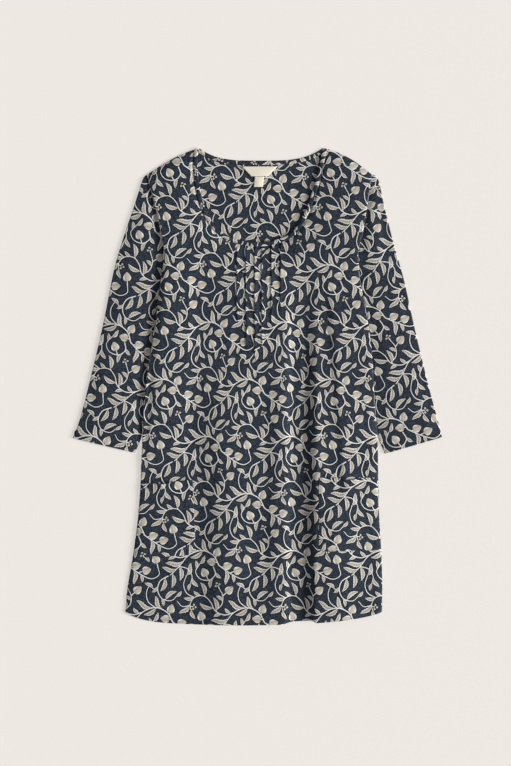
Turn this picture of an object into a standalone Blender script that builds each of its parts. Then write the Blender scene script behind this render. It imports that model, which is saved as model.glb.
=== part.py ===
"""Tunic top laid flat: two body panels, two set-in sleeves, two patch pockets, neck binding
and label.

The frame is in metres with +Z up out of the surface that the garment lies on, +Y from the
hem to the neck and +X to the right of someone who looks down on it. The origin lies under
the middle of the garment's box. Tables and helper functions work in millimetres, as a
pattern cutter does; MM turns them to metres where a mesh is made. A "drop" is a distance
down from the side-neck points towards the hem.
"""
import math
from collections import namedtuple

import bpy
from mathutils import Vector
from mathutils.geometry import delaunay_2d_cdt

MM = 0.001

# ---------------------------------------------------------------- driving dimensions (mm)
BODY_LENGTH = 811.0        # side-neck point to the lowest part of the hem
WALL = 1.4                 # cloth wall of every panel
SEAM_GAP = 0.3             # clearance between pieces that are sewn together
SLEEVE_GAP = 0.7           # clearance in plan between a sleeve and the side of the body
BINDING_WIDTH = 6.8        # finished width of the neck binding
LABEL_WALL = 1.0           # woven label and size tab

NECK_Y = BODY_LENGTH / 2   # the garment's box is centred on the origin
BACK_TOP = WALL            # inside face of the back panel, which lies on z = 0
EDGE_TOP = BACK_TOP + SEAM_GAP + WALL   # outer face of the front where it meets the back
FOLD_FLOOR = EDGE_TOP + 0.3             # no fold sinks the front lower than this

# One row for each level of the body. Left and right are distances from the centre line to
# the outline; loft is how high the front stands there, edge how high it is at its side.
Level = namedtuple("Level", "name drop left right loft edge")
BODY_LEVELS = (
    Level("shoulder tip", 45.0, 187.0, 193.8, 6.6, 5.4),
    Level("yoke", 98.0, 173.7, 186.0, 7.6, 5.6),
    Level("low armhole", 146.0, 162.8, 178.0, 8.6, 4.6),
    Level("underarm", 180.0, 158.4, 170.4, 9.2, 3.6),
    Level("bust", 230.0, 164.4, 174.8, 9.8, EDGE_TOP),
    Level("under bust", 284.0, 171.2, 184.8, 10.4, EDGE_TOP),
    Level("waist", 345.0, 180.4, 193.4, 11.0, EDGE_TOP),
    Level("high hip", 410.0, 190.0, 197.4, 11.6, EDGE_TOP),
    Level("hip", 500.0, 195.6, 203.4, 12.2, EDGE_TOP),
    Level("low hip", 610.0, 201.4, 206.0, 12.4, EDGE_TOP),
    Level("thigh", 690.0, 211.0, 210.0, 12.4, EDGE_TOP),
    Level("above hem", 750.0, 221.0, 211.8, 12.4, EDGE_TOP),
    Level("hem corner", 789.0, 224.4, 211.4, 12.2, EDGE_TOP),
)

NECK_POINT_LEFT = -100.5   # side-neck points, where the front and back necks meet
NECK_POINT_RIGHT = 111.5
SHOULDER_BULGE_LEFT = 4.2  # how far each shoulder seam curves up between neck and tip
SHOULDER_BULGE_RIGHT = 7.0
BACK_NECK_DEPTH = 22.0
BACK_NECK_SQUARENESS = 3.5

# One row for each point that the front scoop passes through, left to right.
NeckRow = namedtuple("NeckRow", "name x drop")
FRONT_NECK = (
    NeckRow("left side-neck", NECK_POINT_LEFT, 0.0),
    NeckRow("left strap", -102.0, 30.0),
    NeckRow("left side", -98.6, 66.0),
    NeckRow("left bend", -88.0, 105.0),
    NeckRow("left corner", -65.5, 139.0),
    NeckRow("left of middle", -31.0, 157.0),
    NeckRow("middle", -2.6, 160.8),
    NeckRow("right of middle", 27.0, 157.6),
    NeckRow("right corner", 58.7, 143.7),
    NeckRow("right bend", 78.6, 113.0),
    NeckRow("right side", 93.6, 73.0),
    NeckRow("right strap", 105.0, 31.0),
    NeckRow("right side-neck", NECK_POINT_RIGHT, 0.0),
)
NECK_EDGE_LOFT = 5.4       # height of the front at its free neck edge
NECK_EASE = 38.0           # distance over which the front rises from it

# The hem falls lowest at HEM_LOW_X. Towards each side it rises by a long sweep and then by
# a quick lift at the corner.
HemSide = namedtuple("HemSide", "name sweep corner_lift")
HEM_LEFT = HemSide("left", 8.0, 14.0)
HEM_RIGHT = HemSide("right", 15.0, 7.0)
HEM_LOW_X = -25.0

SIDE_ROLL = 14.0           # distance over which the front rolls up from a side seam
ROLL_SHARES = (0.3, 0.62, 1.0)   # where its rows of points lie on that roll
SHOULDER_ROLL = 16.0
SHOULDER_SHARES = (0.35, 0.8)    # and those on the roll under a shoulder seam
STEEPEST = 1.7             # most height that the wall takes up on a steep bank, by its own

# One row for each pleat or fold of the front: where its middle runs, how deep it is at the
# hem end (a ridge is negative), the half width of its flat floor and the width of its banks.
Fold = namedtuple(
    "Fold", "name drop_top x_top drop_end x_end depth floor bank_left bank_right grow fade")
FRONT_FOLDS = (
    Fold("deep pleat", 160.0, 77.0, 811.0, 77.0, 8.8, 19.5, 14.0, 6.0, 330.0, 0.0),
    Fold("pleat's crest", 160.0, 46.0, 811.0, 50.0, -1.2, 4.0, 16.0, 10.0, 200.0, 0.0),
    Fold("right soft fold", 210.0, 128.0, 590.0, 151.0, 2.4, 3.0, 13.0, 13.0, 90.0, 120.0),
    Fold("right skirt crest", 540.0, 120.0, 800.0, 124.0, -1.6, 6.0, 14.0, 58.0, 70.0, 30.0),
    Fold("left crest", 150.0, -106.0, 420.0, -108.0, -1.6, 4.0, 16.0, 14.0, 60.0, 80.0),
    Fold("left skirt fold", 350.0, -92.0, 811.0, -96.0, 2.8, 3.0, 10.0, 18.0, 110.0, 0.0),
    Fold("left inner fold", 390.0, -60.0, 811.0, -76.0, 2.0, 3.0, 12.0, 12.0, 90.0, 0.0),
    Fold("middle soft fold", 390.0, 18.0, 740.0, 30.0, 2.0, 3.0, 14.0, 12.0, 90.0, 110.0),
)

# One row for each stitched pintuck.
Tuck = namedtuple("Tuck", "name x drop_end")
TUCKS = (
    Tuck("first", -37.5, 301.0),
    Tuck("second", -21.6, 348.0),
    Tuck("third", -5.4, 364.0),
    Tuck("fourth", 9.2, 343.0),
    Tuck("fifth", 23.8, 310.0),
    Tuck("sixth", 40.0, 279.0),
)
TUCK_TOP = 173.0           # drop at which the tucks leave the binding
TUCK_HEIGHT = 1.2
TUCK_WIDTH = 2.8
TUCK_FLANK = 0.5

# One row for each patch pocket, whose outer edge is caught in the side seam. mouth and foot
# are the levels of its top and bottom edges at the inner and at the outer side, inner_mouth
# and inner_foot the places of its inner edge, and the lower inner corner is cut off by
# corner_across and corner_up.
Pocket = namedtuple(
    "Pocket", "name side inner_mouth inner_foot mouth_inner mouth_outer foot_inner foot_outer"
              " corner_across corner_up")
POCKETS = (
    Pocket("pocket_left", -1, -110.0, -106.0, 564.0, 571.0, 692.0, 697.0, 8.0, 26.0),
    Pocket("pocket_right", 1, 103.5, 103.5, 560.0, 560.0, 685.0, 683.0, 6.0, 8.0),
)
POCKET_WALL = 1.0
POCKET_SIDE_GAP = 1.6      # how far its outer edge stays inside the side seam

# One row for each section of a sleeve, from the armhole to the cuff. outer_x and
# outer_drop give its folded outer edge, inner_drop its level on the underarm side,
# clearance its distance from the side of the body there, height its thickness.
Section = namedtuple("Section", "name outer_x outer_drop inner_drop clearance height")
SLEEVE_LEFT = (
    Section("armhole", -188.6, 45.4, 173.0, SLEEVE_GAP, 5.6),
    Section("crown", -195.6, 55.0, 182.0, SLEEVE_GAP, 5.8),
    Section("cap", -208.4, 95.0, 205.0, SLEEVE_GAP, 6.2),
    Section("bicep", -228.0, 153.0, 245.0, SLEEVE_GAP, 6.4),
    Section("upper arm", -244.0, 208.0, 290.0, SLEEVE_GAP, 6.4),
    Section("elbow", -262.0, 298.0, 345.0, SLEEVE_GAP, 6.4),
    Section("forearm", -284.0, 392.0, 425.0, SLEEVE_GAP, 6.4),
    Section("wrist", -301.0, 458.0, 480.0, SLEEVE_GAP, 6.4),
    Section("cuff", -313.5, 493.5, 518.5, 11.4, 6.2),
)
SLEEVE_RIGHT = (
    Section("armhole", 195.6, 45.4, 173.0, SLEEVE_GAP, 5.6),
    Section("crown", 204.4, 52.0, 182.0, SLEEVE_GAP, 5.8),
    Section("cap", 216.6, 104.0, 205.0, SLEEVE_GAP, 6.2),
    Section("bicep", 233.6, 171.0, 245.0, SLEEVE_GAP, 6.4),
    Section("upper arm", 249.0, 225.0, 290.0, SLEEVE_GAP, 6.4),
    Section("elbow", 267.0, 306.0, 350.0, SLEEVE_GAP, 6.4),
    Section("forearm", 288.0, 394.0, 425.0, SLEEVE_GAP, 6.4),
    Section("wrist", 303.5, 452.0, 482.0, SLEEVE_GAP, 6.4),
    Section("cuff", 313.5, 491.5, 520.0, 12.4, 6.2),
)
SLEEVE_RINGS = 26          # rings along a sleeve
SLEEVE_TOP_STEPS = 10      # steps across its top and its underside
SLEEVE_BOTTOM_STEPS = 6
SLEEVE_DOME = 0.8          # how much a sleeve's top rises from its edges to its middle

# The woven label is a trapezoid with a small tab below it, both on the back panel.
LABEL_TOP_DROP = 31.5
LABEL_BOTTOM_DROP = 48.2
LABEL_TOP_WIDTH = 57.0
LABEL_BOTTOM_WIDTH = 18.0
LABEL_X = 3.2
TAB_BOTTOM_DROP = 66.3
TAB_WIDTH = 15.2
TAB_X = 2.9

# ------------------------------------------------------------------------- cloth colours
NAVY = (0.024, 0.037, 0.060, 1.0)
NAVY_SHADE = (0.019, 0.030, 0.050, 1.0)
CREAM = (0.80, 0.74, 0.62, 1.0)
COTTON_ROUGHNESS = 0.85


# --------------------------------------------------------------------- curves and outlines
def smooth_step(t):
    """0 below t = 0, 1 above t = 1, with level ends."""
    t = min(max(t, 0.0), 1.0)
    return t * t * (3 - 2 * t)


def through(keys, values, key):
    """Smooth curve through (keys, values) that never overshoots them, read at key.

    It is held level past both ends.
    """
    if key <= keys[0]:
        return values[0]
    if key >= keys[-1]:
        return values[-1]
    i = max(k for k in range(len(keys) - 1) if keys[k] <= key)

    def secant(k):
        return (values[k + 1] - values[k]) / (keys[k + 1] - keys[k])

    def slope(k):
        before = secant(max(k - 1, 0))
        after = secant(min(k, len(keys) - 2))
        if before * after <= 0:
            return 0.0
        steepest = 3 * min(abs(before), abs(after))
        return math.copysign(min(abs(before + after) / 2, steepest), after)

    span = keys[i + 1] - keys[i]
    t = (key - keys[i]) / span
    rise = values[i + 1] - values[i]
    start, end = slope(i) * span, slope(i + 1) * span
    return (values[i] + start * t + (3 * rise - 2 * start - end) * t ** 2
            + (start + end - 2 * rise) * t ** 3)


def table_column(rows, key, value):
    """Reader of one column of a table against another."""
    keys = [getattr(row, key) for row in rows]
    values = [getattr(row, value) for row in rows]
    return lambda at: through(keys, values, at)


left_width = table_column(BODY_LEVELS, "drop", "left")
right_width = table_column(BODY_LEVELS, "drop", "right")
body_loft = table_column(BODY_LEVELS, "drop", "loft")
body_edge = table_column(BODY_LEVELS, "drop", "edge")


def side_x(side, drop):
    """Outline of the body at a drop; side is -1 for the left and 1 for the right."""
    return -left_width(drop) if side < 0 else right_width(drop)


def shoulder_drop(x):
    """Level of the shoulder line above x, outside the neck points."""
    tip = BODY_LEVELS[0]
    side = -1 if x < 0 else 1
    neck = NECK_POINT_LEFT if side < 0 else NECK_POINT_RIGHT
    t = (side_x(side, tip.drop) - x) / (side_x(side, tip.drop) - neck)
    t = min(max(t, 0.0), 1.0)
    bulge = SHOULDER_BULGE_LEFT if side < 0 else SHOULDER_BULGE_RIGHT
    return tip.drop * (1 - t) - bulge * math.sin(math.pi * t)


def hem_drop(x):
    """Level of the hem below x."""
    side, hem = (1, HEM_RIGHT) if x > HEM_LOW_X else (-1, HEM_LEFT)
    reach = side_x(side, BODY_LEVELS[-1].drop) - HEM_LOW_X
    t = abs((x - HEM_LOW_X) / reach)
    return BODY_LENGTH - hem.sweep * t ** 2 - hem.corner_lift * t ** 8


def back_neck_drop(x):
    """Level of the back neck's edge above x."""
    middle = (NECK_POINT_LEFT + NECK_POINT_RIGHT) / 2
    half = (NECK_POINT_RIGHT - NECK_POINT_LEFT) / 2
    return BACK_NECK_DEPTH * (1 - abs((x - middle) / half) ** BACK_NECK_SQUARENESS)


def spaced(start, end, step):
    """Evenly spaced values from start to end, both included, at most step apart."""
    count = max(1, math.ceil(abs(end - start) / step))
    return [start + (end - start) * k / count for k in range(count + 1)]


def front_neck_curve(step=8.0):
    """Points (x, drop) along the front neck's edge, from left to right."""
    lengths = [0.0]
    for a, b in zip(FRONT_NECK, FRONT_NECK[1:]):
        lengths.append(lengths[-1] + math.hypot(b.x - a.x, b.drop - a.drop))
    xs = [row.x for row in FRONT_NECK]
    drops = [row.drop for row in FRONT_NECK]
    return [(through(lengths, xs, s), through(lengths, drops, s))
            for s in spaced(0.0, lengths[-1], step)]


def offset_curve(points, distance):
    """The open curve moved to its right-hand side, seen along it with drop downwards."""
    moved = []
    for i, (x, drop) in enumerate(points):
        ahead = points[min(i + 1, len(points) - 1)]
        behind = points[max(i - 1, 0)]
        dx, dd = ahead[0] - behind[0], ahead[1] - behind[1]
        length = math.hypot(dx, dd)
        moved.append((x - dd / length * distance, drop + dx / length * distance))
    return moved


def below_shoulder(points):
    """The curve with its ends held down to the shoulder line."""
    return [(x, max(drop, shoulder_drop(x))) if drop < BACK_NECK_DEPTH else (x, drop)
            for x, drop in points]


def body_sides(neck_left, neck_right, step=9.0):
    """Outline (x, drop) of a body panel from its left neck point, round by the left side,
    the hem and the right side to its right neck point. The neck points are given as x."""
    tip, corner = BODY_LEVELS[0].drop, BODY_LEVELS[-1].drop
    left_tip, right_tip = side_x(-1, tip), side_x(1, tip)
    left = [(x, shoulder_drop(x)) for x in spaced(neck_left, left_tip, step)]
    left += [(side_x(-1, d), d) for d in spaced(tip, corner, step)[1:]]
    hem = [(x, hem_drop(x))
           for x in spaced(side_x(-1, corner), side_x(1, corner), step)[1:]]
    right = [(side_x(1, d), d) for d in spaced(corner, tip, step)[1:]]
    right += [(x, shoulder_drop(x)) for x in spaced(right_tip, neck_right, step)[1:]]
    return left + hem + right


NECK_CURVE = front_neck_curve()


# --------------------------------------------------------------------- height of the front
def neck_distance(x, drop):
    """Distance from a point of the front to its neck edge."""
    best = math.inf
    for (ax, ad), (bx, bd) in zip(NECK_CURVE, NECK_CURVE[1:]):
        dx, dd = bx - ax, bd - ad
        t = ((x - ax) * dx + (drop - ad) * dd) / (dx * dx + dd * dd)
        t = min(max(t, 0.0), 1.0)
        best = min(best, math.hypot(x - ax - t * dx, drop - ad - t * dd))
    return best


def fold_depth(fold, x, drop):
    """How far one fold lowers the front at a point; a ridge gives a negative number."""
    if not fold.drop_top < drop <= fold.drop_end + fold.fade:
        return 0.0
    along = (drop - fold.drop_top) / (fold.drop_end - fold.drop_top)
    middle = fold.x_top + (fold.x_end - fold.x_top) * along
    left = smooth_step((x - middle + fold.floor + fold.bank_left) / fold.bank_left)
    right = smooth_step((middle + fold.floor + fold.bank_right - x) / fold.bank_right)
    grown = smooth_step((drop - fold.drop_top) / fold.grow)
    if fold.fade:
        grown *= 1 - smooth_step((drop - fold.drop_end + fold.fade) / (2 * fold.fade))
    return fold.depth * left * right * grown


def tuck_rise(x, drop):
    """How far the pintucks raise the outer face of the front at a point."""
    rise = 0.0
    for tuck in TUCKS:
        across = (TUCK_WIDTH / 2 + TUCK_FLANK - abs(x - tuck.x)) / TUCK_FLANK
        within = TUCK_TOP <= drop <= tuck.drop_end
        rise = max(rise, TUCK_HEIGHT * min(max(across, 0.0), 1.0) * within)
    return rise


def front_height(x, drop):
    """Outer face of the front panel, without its tucks, above the surface below."""
    tip = BODY_LEVELS[0].drop
    loft, edge = body_loft(drop), body_edge(drop)
    height = loft - sum(fold_depth(fold, x, drop) for fold in FRONT_FOLDS)
    height = max(height, FOLD_FLOOR)
    level = max(drop, tip)
    from_side = min(x - side_x(-1, level), side_x(1, level) - x)
    rise = math.sin(math.pi / 2 * min(max(from_side / SIDE_ROLL, 0.0), 1.0))
    height = edge + (height - edge) * rise
    eased = smooth_step(neck_distance(x, drop) / NECK_EASE)
    height = min(height, NECK_EDGE_LOFT + (height - NECK_EDGE_LOFT) * eased)
    if x < NECK_POINT_LEFT or x > NECK_POINT_RIGHT or drop < tip:
        from_shoulder = drop - shoulder_drop(x)
        rise = math.sin(math.pi / 2 * min(max(from_shoulder / SHOULDER_ROLL, 0.0), 1.0))
        height = min(height, EDGE_TOP + (height - EDGE_TOP) * rise)
    return height


def front_outer(x, drop):
    """Outer face of the front with its tucks."""
    return front_height(x, drop) + tuck_rise(x, drop)


def steepness(x, drop):
    """Height that one millimetre square to the front's slope takes up at a point."""
    reach = 1.0
    across = (front_height(x + reach, drop) - front_height(x - reach, drop)) / (2 * reach)
    along = (front_height(x, drop + reach) - front_height(x, drop - reach)) / (2 * reach)
    return min(math.sqrt(1 + across ** 2 + along ** 2), STEEPEST)


def front_inner(x, drop):
    """Inner face of the front: the wall measured square to the slope of the cloth."""
    height = front_height(x, drop) - WALL * steepness(x, drop)
    return max(height, BACK_TOP + SEAM_GAP)


def pocket_inner(x, drop):
    """Inner face of a pocket, which lies on the front."""
    return front_height(x, drop) + SEAM_GAP * steepness(x, drop)


def pocket_outer(x, drop):
    """Outer face of a pocket."""
    return front_height(x, drop) + (SEAM_GAP + POCKET_WALL) * steepness(x, drop)


# ---------------------------------------------------------------------------- mesh makers
def to_world(x, drop, height):
    """A pattern point as a point in metres."""
    return ((x * MM), (NECK_Y - drop) * MM, height * MM)


def cotton(name, colour):
    """Matt woven cotton."""
    material = bpy.data.materials.new(name)
    material.use_nodes = True
    shader = material.node_tree.nodes["Principled BSDF"]
    shader.inputs["Base Color"].default_value = colour
    shader.inputs["Roughness"].default_value = COTTON_ROUGHNESS
    shader.inputs["Metallic"].default_value = 0.0
    return material


def add_object(name, vertices, faces, material):
    """A smooth-shaded mesh object from points in metres."""
    mesh = bpy.data.meshes.new(name)
    mesh.from_pydata(vertices, [], faces)
    mesh.materials.append(material)
    mesh.shade_smooth()
    mesh.set_sharp_from_angle(angle=math.radians(40))
    obj = bpy.data.objects.new(name, mesh)
    bpy.context.scene.collection.objects.link(obj)
    return obj


def sheet_solid(name, outline, lines, points, outer, inner, material):
    """A closed wall over a flat outline of (x, drop) points.

    lines are open rows of points that the triangles must follow, points are free ones;
    outer and inner give the height of the two faces.
    """
    flat = [Vector(p) for p in outline]
    edges = [(i, (i + 1) % len(outline)) for i in range(len(outline))]
    for line in lines:
        first = len(flat)
        flat += [Vector(p) for p in line]
        edges += [(first + i, first + i + 1) for i in range(len(line) - 1)]
    flat += [Vector(p) for p in points]
    result = delaunay_2d_cdt(flat, edges, [], 1, 1e-4)
    spots, faces = result[0], result[2]
    count = len(spots)
    vertices = [to_world(p.x, p.y, outer(p.x, p.y)) for p in spots]
    vertices += [to_world(p.x, p.y, inner(p.x, p.y)) for p in spots]
    solid, border = [], {}
    for face in faces:
        a, b, c = face
        turn = (spots[b] - spots[a]).cross(spots[c] - spots[a])
        if turn > 0:                     # drop runs down the page, so this winding flips
            a, b, c = a, c, b
        solid.append((a, b, c))
        solid.append((c + count, b + count, a + count))
        for pair in ((a, b), (b, c), (c, a)):
            if (pair[1], pair[0]) in border:
                del border[(pair[1], pair[0])]
            else:
                border[pair] = True
    for a, b in border:
        solid.append((b, a, a + count))
        solid.append((b, a + count, b + count))
    return add_object(name, vertices, solid, material)


def ring_solid(name, rings, material):
    """A closed solid swept through rings of equal count, capped at both ends."""
    size = len(rings[0])
    vertices = [point for ring in rings for point in ring]
    faces = []
    for r in range(len(rings) - 1):
        for k in range(size):
            a, b = r * size + k, r * size + (k + 1) % size
            faces.append((a, b, b + size))
            faces.append((a, b + size, a + size))
    last = (len(rings) - 1) * size
    for k in range(1, size - 1):
        faces.append((0, k + 1, k))
        faces.append((last, last + k, last + k + 1))
    return add_object(name, vertices, faces, material)


def tube_solid(name, outer_rings, inner_rings, material):
    """An open tube: an outer and an inner skin through matching rings, joined at the ends."""
    size, count = len(outer_rings[0]), len(outer_rings)
    vertices = [point for ring in outer_rings + inner_rings for point in ring]
    inside = size * count
    faces = []
    for r in range(count - 1):
        for k in range(size):
            a, b = r * size + k, r * size + (k + 1) % size
            faces += [(a, b, b + size), (a, b + size, a + size)]
            a, b = a + inside, b + inside
            faces += [(a, b + size, b), (a, a + size, b + size)]
    last = size * (count - 1)
    for k in range(size):
        a, b = k, (k + 1) % size
        faces += [(a, a + inside, b + inside), (a, b + inside, b)]
        a, b = a + last, b + last
        faces += [(a, b, b + inside), (a, b + inside, a + inside)]
    return add_object(name, vertices, faces, material)


# ------------------------------------------------------------------------------ the pieces
def back_panel(material):
    """The back lies flat on the surface; its neck edge is cut away for the binding."""
    step = 10.0
    neck_left = NECK_POINT_LEFT - BINDING_WIDTH - SEAM_GAP
    neck_right = NECK_POINT_RIGHT + BINDING_WIDTH + SEAM_GAP
    edge = [(x, back_neck_drop(x)) for x in spaced(NECK_POINT_LEFT, NECK_POINT_RIGHT, step)]
    neck = below_shoulder(offset_curve(edge, BINDING_WIDTH + SEAM_GAP))
    neck = [p for p in neck if neck_left < p[0] < neck_right]
    outline = body_sides(neck_left, neck_right) + neck[::-1]
    grid, first_row, last_row, half_width = 60.0, 90.0, 760.0, 135.0
    points = [(x, drop) for drop in spaced(first_row, last_row, grid)
              for x in spaced(-half_width, half_width, grid)]
    return sheet_solid("back_panel", outline, [], points,
                       lambda x, drop: BACK_TOP, lambda x, drop: 0.0, material)


def tuck_lines(step=28.0):
    """Both flanks of each pintuck, as lines for the front's triangles to follow."""
    lines = []
    inner, outer = TUCK_WIDTH / 2, TUCK_WIDTH / 2 + TUCK_FLANK
    for tuck in TUCKS:
        for x in (tuck.x - outer, tuck.x - inner, tuck.x + inner, tuck.x + outer):
            wide = abs(x - tuck.x) > inner + TUCK_FLANK / 2
            end = tuck.drop_end + (TUCK_FLANK if wide else 0.0)
            start = TUCK_TOP - (TUCK_FLANK if wide else 0.0)
            lines.append([(x, drop) for drop in spaced(start, end, step)])
    return lines


def fold_lines(step=26.0):
    """Lines along the deep pleat's banks, where the front bends most."""
    below_top, above_hem = 60.0, 9.0
    pleat = FRONT_FOLDS[0]
    left, right = pleat.x_top - pleat.floor, pleat.x_top + pleat.floor
    across = (left - pleat.bank_left, left - pleat.bank_left / 2, left,
              right, right + pleat.bank_right / 2, right + pleat.bank_right)
    lines = []
    for x in across:
        drops = spaced(pleat.drop_top + below_top, hem_drop(x) - above_hem, step)
        lines.append([(x, drop) for drop in drops])
    return lines


def pocket_outline(pocket, step=9.0):
    """Outline (x, drop) of a pocket: mouth, outer edge, foot, cut corner and inner edge."""
    def outer_x(drop):
        return side_x(pocket.side, drop) - pocket.side * POCKET_SIDE_GAP

    def straight(start, end):
        count = max(1, math.ceil(math.dist(start, end) / step))
        return [(start[0] + (end[0] - start[0]) * k / count,
                 start[1] + (end[1] - start[1]) * k / count) for k in range(count)]

    outwards = pocket.side * pocket.corner_across
    mouth_end = (outer_x(pocket.mouth_outer), pocket.mouth_outer)
    foot_end = (outer_x(pocket.foot_outer), pocket.foot_outer)
    inner_top = (pocket.inner_mouth, pocket.mouth_inner)
    corner_low = (pocket.inner_foot + outwards, pocket.foot_inner)
    corner_high = (pocket.inner_foot, pocket.foot_inner - pocket.corner_up)
    outer_edge = [(outer_x(drop), drop)
                  for drop in spaced(pocket.mouth_outer, pocket.foot_outer, step)[:-1]]
    return (straight(inner_top, mouth_end) + outer_edge + straight(foot_end, corner_low)
            + straight(corner_low, corner_high) + straight(corner_high, inner_top))


POCKET_OUTLINES = {pocket.name: pocket_outline(pocket) for pocket in POCKETS}


def inside(outline, x, drop, margin):
    """True if a point lies inside a closed outline and at least margin away from it."""
    within = False
    for (ax, ad), (bx, bd) in zip(outline, outline[1:] + outline[:1]):
        if (ad > drop) != (bd > drop) and x < (bx - ax) * (drop - ad) / (bd - ad) + ax:
            within = not within
    return within and clear_of(outline, x, drop, margin)


def clear_of(outline, x, drop, margin):
    """True if a point lies at least margin away from a closed outline, inside or outside."""
    for (ax, ad), (bx, bd) in zip(outline, outline[1:] + outline[:1]):
        dx, dd = bx - ax, bd - ad
        t = min(max(((x - ax) * dx + (drop - ad) * dd) / (dx * dx + dd * dd), 0.0), 1.0)
        if math.hypot(x - ax - t * dx, drop - ad - t * dd) < margin:
            return False
    return True


def front_points(outline, lines):
    """Free points of the front: rolls beside its edges, then an even grid between."""
    roll_step, shoulder_step, row_step, column_step = 15.0, 12.0, 24.0, 14.0
    end_margin, stagger, edge_margin = 10.0, 4.0, 3.0
    line_clear_x, line_clear_drop = 5.0, 13.0
    tip, corner = BODY_LEVELS[0].drop, BODY_LEVELS[-1].drop
    widest_left, widest_right = BODY_LEVELS[-1].left, BODY_LEVELS[-1].right
    points = []
    for side in (-1, 1):
        for share in ROLL_SHARES:
            for drop in spaced(tip + end_margin, corner - end_margin, roll_step):
                points.append((side_x(side, drop) - side * share * SIDE_ROLL, drop))
    for share in SHOULDER_SHARES:
        for x in spaced(side_x(-1, tip), side_x(1, tip), shoulder_step)[1:-1]:
            points.append((x, shoulder_drop(x) + share * SHOULDER_ROLL))
    taken = [p for line in lines for p in line]
    for row, drop in enumerate(spaced(2 * SHOULDER_ROLL, BODY_LENGTH - SHOULDER_ROLL, row_step)):
        for x in spaced(stagger * (row % 2) - widest_left, widest_right, column_step):
            side = -1 if x < 0 else 1
            clear = abs(side_x(side, drop)) - abs(x) > SIDE_ROLL + stagger
            if clear and all(abs(x - px) > line_clear_x or abs(drop - pd) > line_clear_drop
                             for px, pd in taken):
                points.append((x, drop))
    return [p for p in points if inside(outline, p[0], p[1], edge_margin)
            and all(clear_of(pocket, p[0], p[1], edge_margin)
                    for pocket in POCKET_OUTLINES.values())]


def front_with_pockets(material):
    """The front over the back, with scooped neck, tucks, pleat and soft folds, and the
    pockets, each made from the front's own points moved out."""
    neck = below_shoulder(offset_curve(NECK_CURVE, BINDING_WIDTH + SEAM_GAP))
    outline = body_sides(neck[0][0], neck[-1][0]) + neck[1:-1][::-1]
    lines = tuck_lines() + fold_lines()
    points = front_points(outline, lines)
    sewn_lines = [pocket + pocket[:1] for pocket in POCKET_OUTLINES.values()]
    sheet_solid("front_panel", outline, lines + sewn_lines, points,
                front_outer, front_inner, material)
    for name, pocket in POCKET_OUTLINES.items():
        backed = [p for p in points if inside(pocket, p[0], p[1], 0.0)]
        sheet_solid(name, pocket, [], backed, pocket_outer, pocket_inner, material)


def sleeve_ring(side, rows, share, inset):
    """One ring of a sleeve at a share of its length, moved inwards by inset."""
    keys = list(range(len(rows)))
    at = share * (len(rows) - 1)
    read = {field: through(keys, [getattr(row, field) for row in rows], at)
            for field in Section._fields[1:]}
    inner_x = side_x(side, read["inner_drop"]) + side * read["clearance"]
    outer_x, outer_drop = read["outer_x"], read["outer_drop"]
    width = math.hypot(inner_x - outer_x, read["inner_drop"] - outer_drop)
    radius = read["height"] / 2
    seam_bow = max(0.0, 1.0 - at / 2)    # the first rings follow the armhole seam

    def spot(distance, height):
        t = distance / width
        drop = outer_drop + (read["inner_drop"] - outer_drop) * t
        x = outer_x + (inner_x - outer_x) * t
        seam = side_x(side, drop) + side * SLEEVE_GAP
        x += seam_bow * (seam - x) * (1 if at == 0 else math.sin(math.pi * t))
        return to_world(x, drop, height)

    def dome(distance):
        return SLEEVE_DOME * math.sin(math.pi * distance / width)

    core = radius - inset
    arcs = [math.pi / 4 * k for k in range(1, 4)]
    top = [(d, 2 * radius - inset + dome(d))
           for d in spaced(radius, width - radius, width / SLEEVE_TOP_STEPS)]
    bottom = [(d, inset)
              for d in spaced(width - radius, radius, width / SLEEVE_BOTTOM_STEPS)]
    inner_roll = [(width - radius + core * math.sin(a), radius + core * math.cos(a))
                  for a in arcs]
    outer_roll = [(radius - core * math.sin(a), radius - core * math.cos(a)) for a in arcs]
    ring = top + inner_roll + bottom + outer_roll
    return [spot(d, h) for d, h in ring]


def sleeve(name, side, rows, material):
    """A sleeve pressed flat: a tube, open at the armhole and at the cuff."""
    shares = [k / (SLEEVE_RINGS - 1) for k in range(SLEEVE_RINGS)]
    outer = [sleeve_ring(side, rows, share, 0.0) for share in shares]
    inner = [sleeve_ring(side, rows, share, WALL) for share in shares]
    if side < 0:
        outer = [ring[::-1] for ring in outer]
        inner = [ring[::-1] for ring in inner]
    return tube_solid(name, outer, inner, material)


def band(name, edge, outer_edge, top, bottom, material):
    """A flat strip between two matching curves, with the given faces."""
    rings = []
    for (ax, ad), (bx, bd) in zip(edge, outer_edge):
        high, low = top(ax, ad), bottom(ax, ad)
        rings.append([to_world(ax, ad, low), to_world(ax, ad, high),
                      to_world(bx, bd, high), to_world(bx, bd, low)])
    return ring_solid(name, rings, material)


def front_binding(material):
    """Bias strip round the front scoop, just proud of the panel."""
    proud = 0.5

    def top(x, drop):
        return max(front_height(x, drop), EDGE_TOP) + proud

    def bottom(x, drop):
        return max(front_height(x, drop) - WALL, BACK_TOP + SEAM_GAP)

    outer_edge = below_shoulder(offset_curve(NECK_CURVE, BINDING_WIDTH))
    return band("neck_binding_front", NECK_CURVE, outer_edge, top, bottom, material)


def back_binding(material):
    """Bias strip along the back neck, level with the back panel."""
    xs = spaced(NECK_POINT_LEFT, NECK_POINT_RIGHT, 10.0)
    edge = [(x, back_neck_drop(x)) for x in xs]
    outer_edge = below_shoulder(offset_curve(edge, BINDING_WIDTH))
    return band("neck_binding_back", edge, outer_edge,
                lambda x, drop: BACK_TOP, lambda x, drop: 0.0, material)


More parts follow.
